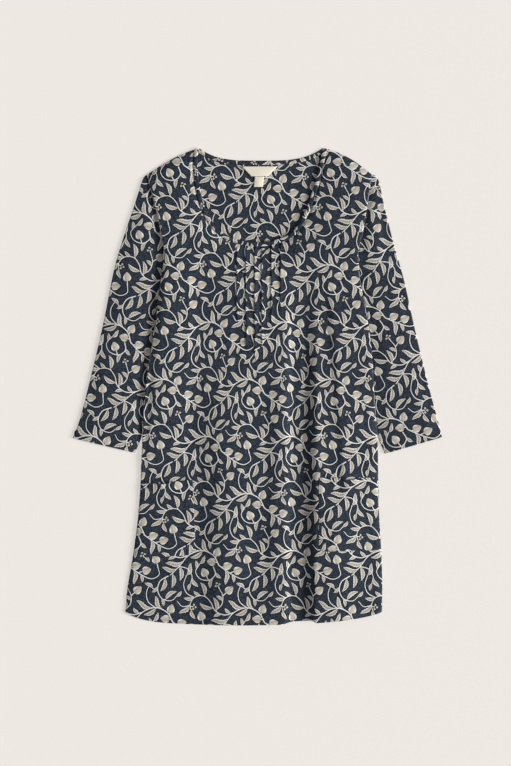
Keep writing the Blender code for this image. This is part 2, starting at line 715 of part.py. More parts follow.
def label_pieces(material):
    """The woven label and the size tab below it, lying on the inside of the back."""
    low = BACK_TOP + SEAM_GAP
    shapes = (
        ("neck_label", LABEL_X, LABEL_TOP_DROP, LABEL_BOTTOM_DROP,
         LABEL_TOP_WIDTH, LABEL_BOTTOM_WIDTH),
        ("size_tab", TAB_X, LABEL_BOTTOM_DROP + SEAM_GAP, TAB_BOTTOM_DROP,
         TAB_WIDTH, TAB_WIDTH),
    )
    for name, x, top, end, top_width, end_width in shapes:
        edge = [(x + top_width / 2, top), (x + end_width / 2, end)]
        outer_edge = [(x - top_width / 2, top), (x - end_width / 2, end)]
        band(name, edge, outer_edge, lambda x, drop: low + LABEL_WALL,
             lambda x, drop: low, material)


def main():
    """Builds the whole tunic."""
    for obj in list(bpy.data.objects):
        bpy.data.objects.remove(obj)
    ground = cotton("printed_cotton", NAVY)
    shade = cotton("printed_cotton_inside", NAVY_SHADE)
    woven = cotton("label_tape", CREAM)
    back_panel(shade)
    front_with_pockets(ground)
    sleeve("sleeve_left", -1, SLEEVE_LEFT, ground)
    sleeve("sleeve_right", 1, SLEEVE_RIGHT, ground)
    front_binding(ground)
    back_binding(shade)
    label_pieces(woven)


main()
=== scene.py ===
"""The looks of a long-sleeved tunic top in printed cotton, laid flat on a pale floor.

Every piece of cloth is cut from the same print. A piece starts as a flat outline in
millimetres, across and up the cloth. The print's stems and leaves are grown in that plane
and become faces of the mesh, and the cut cloth is then laid on the garment's shape: tucks
are really folded, hems really turned. A "drop" is a distance down from the side-neck
points towards the hem, as a pattern cutter measures it.
"""

import logging
import math
from dataclasses import dataclass, field
from enum import Enum, IntEnum
from typing import Callable

import bpy
import numpy as np
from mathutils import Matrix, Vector
from mathutils.geometry import delaunay_2d_cdt


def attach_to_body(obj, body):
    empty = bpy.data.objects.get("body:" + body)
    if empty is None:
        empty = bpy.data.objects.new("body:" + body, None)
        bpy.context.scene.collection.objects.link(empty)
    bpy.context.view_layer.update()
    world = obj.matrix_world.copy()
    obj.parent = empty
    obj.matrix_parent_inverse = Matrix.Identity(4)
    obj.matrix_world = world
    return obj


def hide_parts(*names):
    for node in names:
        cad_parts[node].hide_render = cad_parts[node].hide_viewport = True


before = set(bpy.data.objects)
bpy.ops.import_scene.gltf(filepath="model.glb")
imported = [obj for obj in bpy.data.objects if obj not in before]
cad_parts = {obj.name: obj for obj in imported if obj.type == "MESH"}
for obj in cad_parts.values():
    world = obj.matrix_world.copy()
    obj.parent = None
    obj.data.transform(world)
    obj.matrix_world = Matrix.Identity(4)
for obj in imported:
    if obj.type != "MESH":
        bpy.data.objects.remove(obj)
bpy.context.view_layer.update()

LOG = logging.getLogger("tunic")

MM = 0.001
NECK_Y = 405.5  # level of the side-neck points above the garment's middle, mm
BODY = "root"  # the one rigid body of a garment laid flat
PLACE = "motif_place"  # the attribute that tells a finish where it is in its motif
FLIP = np.array([1.0, -1.0])  # turns (x, drop) into (along, up) on flat cloth, and back
Array = np.ndarray
Spot = tuple[float, float]


# ------------------------------------------------------------------------------ helpers
def smooth_step(t: Array) -> Array:
    """Rises from 0 at t = 0 to 1 at t = 1, with level ends."""
    t = np.clip(t, 0.0, 1.0)
    return t * t * (3 - 2 * t)


def swell(away: Array, width: float) -> Array:
    """1 at a place, down to about a third one width away from it, and then to 0."""
    return np.exp(-((away / width) ** 2))


def through(keys: list[float], values: list[float], at: Array) -> Array:
    """Reads a smooth curve that goes through a table without overshooting it.

    Args:
        keys: Increasing places of the table's rows.
        values: The value of each row.
        at: Where to read the curve; it is level past both ends.

    Returns:
        The curve's values.
    """
    key = np.asarray(keys, float)
    value = np.asarray(values, float)
    secant = np.diff(value) / np.diff(key)
    before = np.concatenate([secant[:1], secant])
    after = np.concatenate([secant, secant[-1:]])
    steepest = 3 * np.minimum(np.abs(before), np.abs(after))
    gentle = np.minimum(np.abs(before + after) / 2, steepest)
    slope = np.where(before * after > 0, np.sign(after) * gentle, 0.0)
    at = np.clip(at, key[0], key[-1])
    i = np.clip(np.searchsorted(key, at, side="right") - 1, 0, len(key) - 2)
    span = key[i + 1] - key[i]
    t = (at - key[i]) / span
    rise = value[i + 1] - value[i]
    start, end = slope[i] * span, slope[i + 1] * span
    square = (3 * rise - 2 * start - end) * t**2
    return value[i] + start * t + square + (start + end - 2 * rise) * t**3


def lengths(points: Array) -> Array:
    """Distance of each point of a line from its first, measured along the line."""
    steps = np.linalg.norm(np.diff(points, axis=0), axis=1)
    return np.concatenate([[0.0], np.cumsum(steps)])


def respaced(points: Array, step: float) -> Array:
    """The same line with its points evenly spaced, at most step apart."""
    run = lengths(points)
    at = np.linspace(0.0, run[-1], max(2, math.ceil(run[-1] / step) + 1))
    return np.column_stack([np.interp(at, run, points[:, k]) for k in (0, 1)])


def moved_aside(points: Array, distance: float) -> Array:
    """An open line moved to its right-hand side, seen along it with drop downwards."""
    along = np.gradient(points, axis=0)
    along /= np.linalg.norm(along, axis=1)[:, None]
    return points + distance * np.column_stack([-along[:, 1], along[:, 0]])


def distance_to(points: Array, line: Array) -> Array:
    """Distance of each point from the nearest place on a line.

    Args:
        points: The points, one row each.
        line: The corners of an open line, one row each.

    Returns:
        One distance for each point.
    """
    best = np.full(len(points), np.inf)
    for a, b in zip(line, line[1:]):
        run = b - a
        share = np.clip(((points - a) @ run) / max(run @ run, 1e-9), 0.0, 1.0)
        away = points - a - share[:, None] * run
        best = np.minimum(best, np.hypot(away[:, 0], away[:, 1]))
    return best


def within(points: Array, outline: Array) -> Array:
    """True for each point that lies inside a closed outline."""
    inside = np.zeros(len(points), bool)
    x, y = points[:, 0], points[:, 1]
    for (ax, ay), (bx, by) in zip(outline, np.roll(outline, -1, axis=0)):
        if ay == by:
            continue
        crosses = ((ay > y) != (by > y)) & (x < (bx - ax) * (y - ay) / (by - ay) + ax)
        inside ^= crosses
    return inside


def turned(points: Array, angle: float) -> Array:
    """Points turned anticlockwise about the origin by an angle in radians."""
    c, s = math.cos(angle), math.sin(angle)
    return points @ np.array([[c, s], [-s, c]])


def linear(colour: str) -> tuple[float, float, float, float]:
    """An sRGB hex colour such as "#2b3648" as linear RGBA."""
    parts = [int(colour[k : k + 2], 16) / 255 for k in (1, 3, 5)]
    r, g, b = (c / 12.92 if c <= 0.04045 else ((c + 0.055) / 1.055) ** 2.4 for c in parts)
    return (r, g, b, 1.0)


# -------------------------------------------------------------------- the garment's shape
@dataclass(frozen=True)
class Level:
    """One level of the body: widths from its middle line, and heights, all in mm."""

    drop: float
    left: float
    right: float
    loft: float
    left_edge: float
    right_edge: float


@dataclass(frozen=True)
class Fold:
    """A long fold of the front. A ridge has a negative depth. All sizes in mm."""

    name: str
    drop_top: float
    x_top: float
    drop_end: float
    x_end: float
    depth: float
    floor: float
    bank_left: float
    bank_right: float
    grow: float
    fade: float

    def middle(self, drop: Array) -> Array:
        """Where the middle of the fold's floor runs at each drop."""
        share = (drop - self.drop_top) / (self.drop_end - self.drop_top)
        return self.x_top + (self.x_end - self.x_top) * share

    def depth_at(self, x: Array, drop: Array) -> Array:
        """How far the fold lowers the cloth at each place."""
        middle = self.middle(drop)
        left = smooth_step((x - middle + self.floor + self.bank_left) / self.bank_left)
        right = smooth_step((middle + self.floor + self.bank_right - x) / self.bank_right)
        grown = smooth_step((drop - self.drop_top) / self.grow)
        if self.fade:
            past = (drop - self.drop_end + self.fade) / (2 * self.fade)
            grown = grown * (1 - smooth_step(past))
        return self.depth * left * right * grown


@dataclass(frozen=True)
class Crease:
    """A soft crease between two places of a piece; its rise may be negative."""

    start: Spot
    end: Spot
    rise: float
    width: float

    def rise_at(self, points: Array) -> Array:
        """How far the crease lifts the cloth at each (x, drop)."""
        away = distance_to(points, np.array([self.start, self.end]))
        return self.rise * swell(away, self.width)


def total_rise(creases: tuple[Crease, ...], points: Array) -> Array:
    """How far all the creases together lift the cloth at each (x, drop)."""
    return sum((crease.rise_at(points) for crease in creases), np.zeros(len(points)))


@dataclass(frozen=True)
class Tuck:
    """A pintuck of the front: where it is stitched and where it lets the cloth go."""

    x: float
    drop_end: float


BODY_LEVELS = (
    Level(45.0, 187.0, 193.8, 5.2, 4.8, 4.8),
    Level(98.0, 173.7, 186.0, 6.2, 6.4, 5.7),
    Level(146.0, 162.8, 178.0, 7.4, 8.8, 6.7),
    Level(180.0, 158.4, 170.4, 8.2, 9.4, 7.4),
    Level(230.0, 164.4, 174.8, 9.2, 9.6, 7.9),
    Level(284.0, 171.2, 184.8, 10.2, 9.4, 8.1),
    Level(345.0, 180.4, 193.4, 11.2, 9.0, 8.0),
    Level(410.0, 190.0, 197.4, 12.2, 8.4, 7.2),
    Level(500.0, 195.6, 203.4, 13.0, 5.2, 5.0),
    Level(610.0, 201.4, 206.0, 13.2, 2.6, 4.2),
    Level(690.0, 211.0, 210.0, 13.2, 2.4, 3.8),
    Level(750.0, 221.0, 211.8, 13.0, 2.4, 3.6),
    Level(789.0, 224.4, 211.4, 12.8, 2.4, 3.6),
)
FRONT_NECK = (
    (-100.5, 0.0),
    (-102.0, 30.0),
    (-98.6, 66.0),
    (-88.0, 105.0),
    (-65.5, 139.0),
    (-31.0, 157.0),
    (-2.6, 160.8),
    (27.0, 157.6),
    (58.7, 143.7),
    (78.6, 113.0),
    (93.6, 73.0),
    (105.0, 31.0),
    (111.5, 0.0),
)
FRONT_FOLDS = (
    Fold("deep pleat", 160.0, 72.0, 811.0, 68.0, 5.0, 8.0, 17.0, 24.0, 170.0, 0.0),
    Fold("left of pleat", 200.0, -120.0, 811.0, -124.0, 5.0, 200.0, 9.0, 24.0, 290.0, 0.0),
    Fold("left side", 330.0, -200.0, 811.0, -200.0, 4.6, 88.0, 9.0, 54.0, 220.0, 0.0),
    Fold("left trough", 350.0, -106.0, 811.0, -106.0, 1.2, 4.0, 34.0, 48.0, 100.0, 0.0),
    Fold("middle soft", 370.0, 8.0, 760.0, 2.0, 2.6, 6.0, 48.0, 24.0, 60.0, 90.0),
    Fold("right fall", 130.0, 240.0, 811.0, 240.0, 7.5, 40.0, 75.0, 9.0, 570.0, 0.0),
    Fold("right crease", 225.0, 109.0, 590.0, 134.0, 2.6, 4.0, 30.0, 12.0, 50.0, 50.0),
    Fold("armhole ridge", 120.0, -146.0, 520.0, -178.0, -2.6, 4.0, 14.0, 70.0, 60.0, 60.0),
    Fold("left crest", 170.0, -92.0, 400.0, -104.0, 1.6, 5.0, 15.0, 60.0, 60.0, 60.0),
)
TUCKS = (
    Tuck(-33.0, 301.0),
    Tuck(-17.7, 348.0),
    Tuck(-2.8, 364.0),
    Tuck(9.4, 343.0),
    Tuck(25.4, 310.0),
    Tuck(40.8, 279.0),
)


@dataclass(frozen=True)
class BodyShape:
    """Outline and height of the tunic's body, in mm, shared by all its pieces."""

    length: float = 811.0
    neck_left: float = -100.5
    neck_right: float = 111.5
    bulge_left: float = 4.2
    bulge_right: float = 7.0
    back_neck_depth: float = 22.0
    back_neck_squareness: float = 3.5
    hem_low_x: float = -25.0
    hem_sweep: Spot = (8.0, 15.0)
    hem_lift: Spot = (14.0, 7.0)
    notch: float = 4.4
    notch_left: Spot = (38.0, 62.0)
    notch_right: Spot = (91.0, 101.0)
    side_roll: Spot = (10.0, 12.0)
    shoulder_roll: float = 16.0
    seam_height: float = 1.8
    neck_edge_loft: float = 3.7
    neck_ease: float = 44.0
    ditch: float = 1.6
    ditch_at: float = 7.6
    ditch_width: float = 1.2
    lowest_front: float = 3.0

    @property
    def tip(self) -> float:
        """Drop of the shoulder tips."""
        return BODY_LEVELS[0].drop

    @property
    def corner(self) -> float:
        """Drop of the hem's corners."""
        return BODY_LEVELS[-1].drop

    def column(self, name: str, drop: Array) -> Array:
        """One column of the levels' table, read at each drop."""
        rows = BODY_LEVELS
        return through([r.drop for r in rows], [getattr(r, name) for r in rows], drop)

    def side(self, side: int, drop: Array) -> Array:
        """Outline of the body at each drop; side is -1 for the left, 1 for the right."""
        return side * self.column("left" if side < 0 else "right", drop)

    def shoulder(self, x: Array) -> Array:
        """Drop of the shoulder line at each x outside the neck points."""
        left = x < 0
        tip = np.where(left, self.side(-1, self.tip), self.side(1, self.tip))
        neck = np.where(left, self.neck_left, self.neck_right)
        bulge = np.where(left, self.bulge_left, self.bulge_right)
        t = np.clip((tip - x) / (tip - neck), 0.0, 1.0)
        return self.tip * (1 - t) - bulge * np.sin(math.pi * t)

    def hem(self, x: Array) -> Array:
        """Drop of the hem's edge at each x. The deep pleat draws it up in a notch."""
        right = x > self.hem_low_x
        end = np.where(right, self.side(1, self.corner), self.side(-1, self.corner))
        sweep = np.where(right, self.hem_sweep[1], self.hem_sweep[0])
        lift = np.where(right, self.hem_lift[1], self.hem_lift[0])
        t = np.abs((x - self.hem_low_x) / (end - self.hem_low_x))
        (starts, full), (still_full, ends) = self.notch_left, self.notch_right
        drawn = smooth_step((x - starts) / (full - starts))
        drawn = drawn * smooth_step((ends - x) / (ends - still_full))
        return self.length - sweep * t**2 - lift * t**8 - self.notch * drawn

    def back_neck(self, x: Array) -> Array:
        """Drop of the back neck's edge at each x."""
        middle = (self.neck_left + self.neck_right) / 2
        t = np.abs(x - middle) / ((self.neck_right - self.neck_left) / 2)
        return self.back_neck_depth * (1 - np.minimum(t, 1) ** self.back_neck_squareness)

    def back_neck_curve(self, step: float) -> Array:
        """Points (x, drop) along the back neck's edge, from left to right."""
        x = np.linspace(self.neck_left, self.neck_right, 120)
        return respaced(np.column_stack([x, self.back_neck(x)]), step)

    def front_neck_curve(self, step: float) -> Array:
        """Points (x, drop) along the front scoop's edge, from left to right."""
        rows = np.array(FRONT_NECK)
        run = lengths(rows)
        at = np.linspace(0.0, run[-1], 200)
        curve = np.column_stack([through(run, rows[:, k], at) for k in (0, 1)])
        return respaced(curve, step)

    def held_below_shoulder(self, curve: Array) -> Array:
        """A neck curve with its ends held down to the shoulder line."""
        x, drop = curve[:, 0], curve[:, 1]
        near = drop < self.back_neck_depth
        return np.column_stack([x, np.where(near, np.maximum(drop, self.shoulder(x)), drop)])

    def sides(self, neck_from: float, neck_to: float, step: float) -> list[Array]:
        """The outline of a body panel without its neck.

        Args:
            neck_from: x where the left shoulder starts.
            neck_to: x where the right shoulder ends.
            step: Distance between the points.

        Returns:
            Left shoulder, left side, hem, right side and right shoulder, in that order
            round the panel, as points (x, drop).
        """
        down = np.linspace(self.tip, self.corner, 240)
        left = np.linspace(neck_from, self.side(-1, self.tip), 60)
        low = np.linspace(self.side(-1, self.corner), self.side(1, self.corner), 240)
        right = np.linspace(self.side(1, self.tip), neck_to, 60)
        parts = [
            np.column_stack([left, self.shoulder(left)]),
            np.column_stack([self.side(-1, down), down]),
            np.column_stack([low, self.hem(low)]),
            np.column_stack([self.side(1, down), down])[::-1],
            np.column_stack([right, self.shoulder(right)]),
        ]
        return [respaced(part, step) for part in parts]

    def front_height(self, x: Array, drop: Array) -> Array:
        """Height of the front's cloth, without its tucks, at each place."""
        level = np.maximum(drop, self.tip)
        loft = self.column("loft", drop)
        sides = [self.column(f"{side}_edge", drop) for side in ("left", "right")]
        edge = np.where(x < 0, *sides)
        height = loft - sum(fold.depth_at(x, drop) for fold in FRONT_FOLDS)
        height = np.maximum(height, self.lowest_front)
        from_left = x - self.side(-1, level)
        from_right = self.side(1, level) - x
        from_side = np.minimum(from_left / self.side_roll[0], from_right / self.side_roll[1])
        rise = np.sin(math.pi / 2 * np.clip(from_side, 0.0, 1.0))
        height = edge + (height - edge) * rise
        flat = np.column_stack([x.ravel(), drop.ravel()])
        neck = distance_to(flat, self.front_neck_curve(12.0)).reshape(x.shape)
        eased = smooth_step(neck / self.neck_ease)
        low = self.neck_edge_loft
        height = np.minimum(height, low + (height - low) * eased)
        height -= self.ditch * swell(neck - self.ditch_at, self.ditch_width)
        outside = (x < self.neck_left) | (x > self.neck_right) | (drop < self.tip)
        share = np.clip((drop - self.shoulder(x)) / self.shoulder_roll, 0.0, 1.0)
        rolled = self.seam_height + (height - self.seam_height) * np.sin(math.pi / 2 * share)
        return np.where(outside, np.minimum(height, rolled), height)


SHAPE = BodyShape()


# ------------------------------------------------------------------------ the vine print
class Motif(IntEnum):
    """What a printed motif is."""

    STEM = 0
    LEAF = 1
    BUD = 2


def mid_rib(u: Array, bend: Array, sway: Array) -> Array:
    """How far aside a leaf's mid-rib lies at a share u of its length."""
    return bend * 4 * u * (1 - u) + sway * np.sin(2 * math.pi * u)


LEAF_POINTS = 12  # along each edge of a leaf, so that every other one is a tooth
BUD_POINTS = 16
BERRY_POINTS = 8


def lance(u: Array) -> Array:
    """The outline of a lance-shaped leaf: its half width against the widest."""
    return np.maximum(np.sin(math.pi * np.clip(u, 0.0, 1.0) ** 0.86), 0.0) ** 0.85


@dataclass(frozen=True)
class Sprig:
    """A motif that grows from a stem: sizes in mm, its angle from the stem in degrees.

    A leaf's mid-rib bows aside by its bend and sways in an S by its sway, both as shares
    of its length.
    """

    motif: Motif
    length: float
    width: float
    stalk: float
    angle: float
    bend: float
    sway: float
    berries: bool = False
    teeth: float = 0.07

    def outline(self, side: int) -> Array:
        """The motif's outline, growing along +x from the end of its stalk."""
        if self.motif is Motif.BUD:  # a plump heart, notched where the stalk meets it
            count = BERRY_POINTS if self.berries else BUD_POINTS
            a = np.linspace(0.0, 2 * math.pi, count, endpoint=False)
            notch = 0.13 * swell(a - math.pi, 0.4)
            along = 0.46 + 0.47 * np.cos(a) + 0.07 * np.cos(a) ** 3 + notch
            across = np.sign(np.sin(a)) * np.abs(np.sin(a)) ** 1.2 * (1 - 0.26 * np.cos(a))
            return np.column_stack([self.length * along, self.width / 2 * across])
        u = np.linspace(0.0, 1.0, LEAF_POINTS)
        teeth = 1 + self.teeth * (-1.0) ** np.arange(LEAF_POINTS)
        middle, half = self.middle(u, side), self.half_width(u) * teeth
        above = np.column_stack([u * self.length, middle + half])
        below = np.column_stack([u * self.length, middle - half])
        return np.vstack([above, below[::-1][1:-1]])

    def middle(self, u: Array, side: int) -> Array:
        """Where the leaf's mid-rib runs at a share u of its length."""
        return self.length * mid_rib(u, -side * self.bend, -side * self.sway)

    def half_width(self, u: Array) -> Array:
        """Half the leaf's width at a share u of its length."""
        return self.width / 2 * lance(u)

    def room(self, side: int) -> tuple[Array, Array]:
        """The middles and radii of the round spots that the motif needs to itself."""
        if self.motif is Motif.BUD:
            middles = np.array([[self.length / 2, 0.0], [-0.3 * self.stalk, 0.0]])
            return middles, np.array([max(self.length, self.width) * 0.48, 1.0])
        u = np.array([0.3, 0.5, 0.7, 0.92])
        return np.column_stack([u * self.length, self.middle(u, side)]), self.half_width(u)


@dataclass(frozen=True)
class Stem:
    """A printed stem: its width, the points that it runs through, and what tips it."""

    width: float
    points: tuple[Spot, ...]
    tip: Motif

    def path(self, step: float = 2.8) -> Array:
        """Even points along the smooth line through the stem's points."""
        p = np.array(self.points, float)
        p = np.vstack([2 * p[0] - p[1], p, 2 * p[-1] - p[-2]])
        t = (np.arange(24) / 24)[:, None]
        parts = []
        for a, b, c, d in zip(p, p[1:], p[2:], p[3:]):
            bend = (2 * a - 5 * b + 4 * c - d) * t**2 + (3 * b - 3 * c + d - a) * t**3
            parts.append(0.5 * (2 * b + (c - a) * t + bend))
        return respaced(np.vstack(parts + [p[-2][None]]), step)


@dataclass
class Printed:
    """One motif of the print, in the print's own plane."""

    motif: Motif
    outline: Array
    base: Array
    angle: float
    length: float = 1.0
    width: float = 1.0
    bend: float = 0.0
    sway: float = 0.0
    tone: float = 0.5


def swollen(outline: Array, by: float) -> Array:
    """A closed anticlockwise outline moved outwards by a small distance."""
    ahead = np.roll(outline, -1, axis=0) - np.roll(outline, 1, axis=0)
    ahead /= np.maximum(np.linalg.norm(ahead, axis=1), 1e-9)[:, None]
    return outline + by * np.column_stack([ahead[:, 1], -ahead[:, 0]])


def ribbon(path: Array, start: float, end: float) -> Array:
    """The outline of a line drawn with a width that goes from start to end."""
    along = np.gradient(path, axis=0)
    along /= np.linalg.norm(along, axis=1)[:, None]
    half = np.linspace(start, end, len(path))[:, None] / 2
    aside = half * np.column_stack([-along[:, 1], along[:, 0]])
    return np.vstack([path + aside, (path - aside)[::-1]])


SPRIGS = {
    "long leaf": Sprig(Motif.LEAF, 28.0, 7.8, 1.8, 26.0, 0.10, 0.06),
    "sickle leaf": Sprig(Motif.LEAF, 24.0, 7.0, 1.8, 42.0, -0.15, 0.0),
    "leaf": Sprig(Motif.LEAF, 23.0, 7.2, 1.8, 30.0, 0.11, 0.05),
    "short leaf": Sprig(Motif.LEAF, 17.0, 6.0, 1.4, 32.0, 0.12, 0.03),
    "small leaf": Sprig(Motif.LEAF, 13.0, 5.2, 1.0, 38.0, 0.10, 0.0),
    "bud": Sprig(Motif.BUD, 15.6, 13.4, 7.5, 48.0, 0.0, 0.0),
    "near bud": Sprig(Motif.BUD, 15.2, 13.0, 3.6, 48.0, 0.0, 0.0),
    "berries": Sprig(Motif.BUD, 7.0, 10.0, 5.0, 52.0, 0.0, 0.0, berries=True),
}
BERRY = Sprig(Motif.BUD, 3.8, 3.8, 0.0, 0.0, 0.0, 0.0, berries=True)
TIPS = {
    Motif.LEAF: ("leaf", "short leaf", "small leaf"),
    Motif.BUD: ("bud", "near bud", "short leaf", "berries", "small leaf"),
}
LARGE = ("long leaf", "bud", "sickle leaf", "near bud", "leaf", "bud")
SMALL = ("short leaf", "small leaf", "berries", "small leaf")
TURNS = (0.0, 12.0, 24.0, -8.0)  # degrees by which a motif may turn aside to find room
STEMS = (
    Stem(1.9, ((0, 0), (17, 10), (25, 30), (17, 52), (-2, 68), (-17, 83)), Motif.LEAF),
    Stem(1.8, ((0, 156), (-15, 134), (-23, 115), (-16, 102), (-4, 104)), Motif.BUD),
    Stem(
        1.75,
        ((17, 52), (13, 68), (20, 84), (35, 92), (45, 104), (42, 120), (29, 127), (17, 123)),
        Motif.LEAF,
    ),
    Stem(1.75, ((79, 8), (70, 22), (54, 26), (40, 18), (37, 3), (45, -7)), Motif.LEAF),
    Stem(1.75, ((95, 88), (82, 84), (72, 94), (74, 110), (86, 118), (98, 112)), Motif.LEAF),
    Stem(1.65, ((20, 84), (30, 73), (45, 71), (58, 77)), Motif.BUD),
    Stem(1.65, ((42, 120), (50, 133), (64, 138), (78, 134)), Motif.LEAF),
    Stem(1.65, ((25, 30), (35, 42), (50, 45), (64, 40)), Motif.BUD),
    Stem(1.55, ((54, 26), (57, 33), (64, 37)), Motif.BUD),
    Stem(1.55, ((-2, 68), (-6, 54), (-18, 46), (-30, 48)), Motif.LEAF),
    Stem(1.55, ((29, 127), (27, 140), (36, 149)), Motif.BUD),
)


@dataclass
class VinePrint:
    """A trailing leaf print in half-drop repeat: its stems are charted, its leaves grown.

    Leaves, buds and berries are set along the stems in turn, on alternate sides, wherever
    there is room for them in the repeat. Sizes are in mm.
    """

    across: float = 97.0
    down: float = 156.0
    gap: float = 3.5
    far: float = 45.0  # motifs farther apart than this can't meet
    joint: float = 4.0  # a motif may touch its own stem this near its base, and farther
    joint_leaf: float = 0.42  # by this share of a leaf's length
    joint_bud: float = 0.7  # or by this share of a bud's
    stalk_widths: Spot = (1.8, 1.3)
    taper: float = 0.65
    shortest: int = 6  # a stem is cut by fewer points than this to find room for its tip
    berry_apart: float = 3.6
    berry_back: float = 0.6
    motifs: list[Printed] = field(default_factory=list)
    _spots: Array = field(default_factory=lambda: np.zeros((0, 2)))
    _radii: Array = field(default_factory=lambda: np.zeros(0))
    _stems: Array = field(default_factory=lambda: np.zeros(0, bool))

    def repeat(self, reach: int) -> list[Array]:
        """The moves that carry one repeat of the print onto those round it."""
        count = range(-reach, reach + 1)
        return [
            np.array([i * self.across, j * self.down + (i % 2) * self.down / 2])
            for i in count
            for j in count
        ]

    def take(self, spots: Array, radii: Array, stem: bool) -> None:
        """Marks round spots as taken, in every repeat."""
        moves = self.repeat(2)
        self._spots = np.vstack([self._spots] + [spots + move for move in moves])
        self._radii = np.concatenate([self._radii, np.tile(radii, len(moves))])
        self._stems = np.concatenate([self._stems, np.full(len(radii) * len(moves), stem)])

    def is_free(self, spots: Array, radii: Array, base: Array, near: float) -> bool:
        """Tells whether round spots keep clear of everything printed so far.

        Args:
            spots: Middles of the spots.
            radii: Their radii.
            base: Where the motif leaves its stem.
            near: Distance from there within which stems don't count.

        Returns:
            True if there is room.
        """
        close = np.hypot(*(self._spots - spots.mean(axis=0)).T) < self.far
        own = self._stems & (np.hypot(*(self._spots - base).T) < near)
        taken, radius = self._spots[close & ~own], self._radii[close & ~own]
        apart = np.hypot(*(spots[:, None] - taken[None]).transpose(2, 0, 1))
        return not (apart < radii[:, None] + radius[None] + self.gap).any()

    def set_sprig(self, sprig: Sprig, base: Array, angle: float, side: int) -> bool:
        """Prints a motif on a stem if there is room for it.

        Args:
            sprig: The motif.
            base: Where its stalk leaves the stem.
            angle: Its direction in radians.
            side: 1 on the left of the stem, -1 on the right.

        Returns:
            True if it was printed.
        """
        ahead = np.array([math.cos(angle), math.sin(angle)])
        start = base + ahead * sprig.stalk
        spots, radii = sprig.room(side)
        spots = turned(spots, angle) + start
        share = self.joint_bud if sprig.motif is Motif.BUD else self.joint_leaf
        if not self.is_free(spots, radii, base, self.joint + sprig.length * share):
            return False
        self.take(spots, radii, False)
        tone = (len(self.motifs) * 0.37) % 1.0  # spreads the tones evenly over the motifs
        stalk = np.array([base, (base + start) / 2, start + ahead])
        shape = ribbon(stalk, *self.stalk_widths)
        self.motifs.append(Printed(Motif.STEM, shape, base, angle))
        if sprig.berries:
            for k in (-1, 0, 1):
                place = (self.berry_apart * (k == 0) - self.berry_back, self.berry_apart * k)
                at = start + turned(np.array(place), angle)
                shape = turned(BERRY.outline(side), angle) + at
                size = (BERRY.length, BERRY.width)
                self.motifs.append(Printed(Motif.BUD, shape, at, angle, *size, tone=tone))
            return True
        shape = turned(sprig.outline(side), angle) + start
        size = (sprig.length, sprig.width, -side * sprig.bend, -side * sprig.sway, tone)
        self.motifs.append(Printed(sprig.motif, shape, start, angle, *size))
        return True

    def grow(self) -> "VinePrint":
        """Draws the stems and grows everything on them: tips, large motifs, small ones."""
        paths = [stem.path() for stem in STEMS]
        for stem, path in zip(STEMS, paths):
            self.take(path, np.full(len(path), stem.width / 2), True)
        paths = [self.tip(path, TIPS[stem.tip]) for stem, path in zip(STEMS, paths)]
        for stem, path in zip(STEMS, paths):
            shape = ribbon(path, stem.width, stem.width * self.taper)
            self.motifs.append(Printed(Motif.STEM, shape, path[0], 0.0))
        for names, every in ((LARGE, 3), (SMALL, 2)):  # at every third point, then second
            turn = 0
            for path in paths:
                for i in range(2, len(path) - 1, every):
                    run = path[i + 1] - path[i - 1]
                    side = 1 if (i // every) % 2 == 0 else -1
                    k = turn % len(names)
                    wanted = names[k:] + names[:k]
                    turn += self.grow_one(wanted, path[i], math.atan2(run[1], run[0]), side)
        return self

    def tip(self, path: Array, names: tuple[str, ...]) -> Array:
        """Sets a motif at the end of a stem, and cuts the stem shorter where it must."""
        for end in range(len(path) - 1, max(len(path) - self.shortest, 2), -1):
            run = path[end] - path[end - 1]
            for name in names:
                if self.set_sprig(SPRIGS[name], path[end], math.atan2(run[1], run[0]), 1):
                    return path[: end + 1]
        return path

    def grow_one(self, names: tuple[str, ...], base: Array, along: float, side: int) -> bool:
        """Grows the first of some motifs that fits at a place of a stem."""
        for name in names:
            for turn in TURNS:
                angle = along + side * math.radians(SPRIGS[name].angle + turn)
                if self.set_sprig(SPRIGS[name], base, angle, side):
                    return True
        return False


# --------------------------------------------------------------------------- cut cloth
class Ink(IntEnum):
    """What lies on a place of printed cloth, in the order of its finishes."""

    NONE = 0
    CREAM = 1
    KEYLINE = 2


@dataclass
class CutCloth:
    """Flat cloth cut along its outline and round every motif printed on it."""

    points: Array
    triangles: Array
    materials: Array
    places: Array
    edge: Array


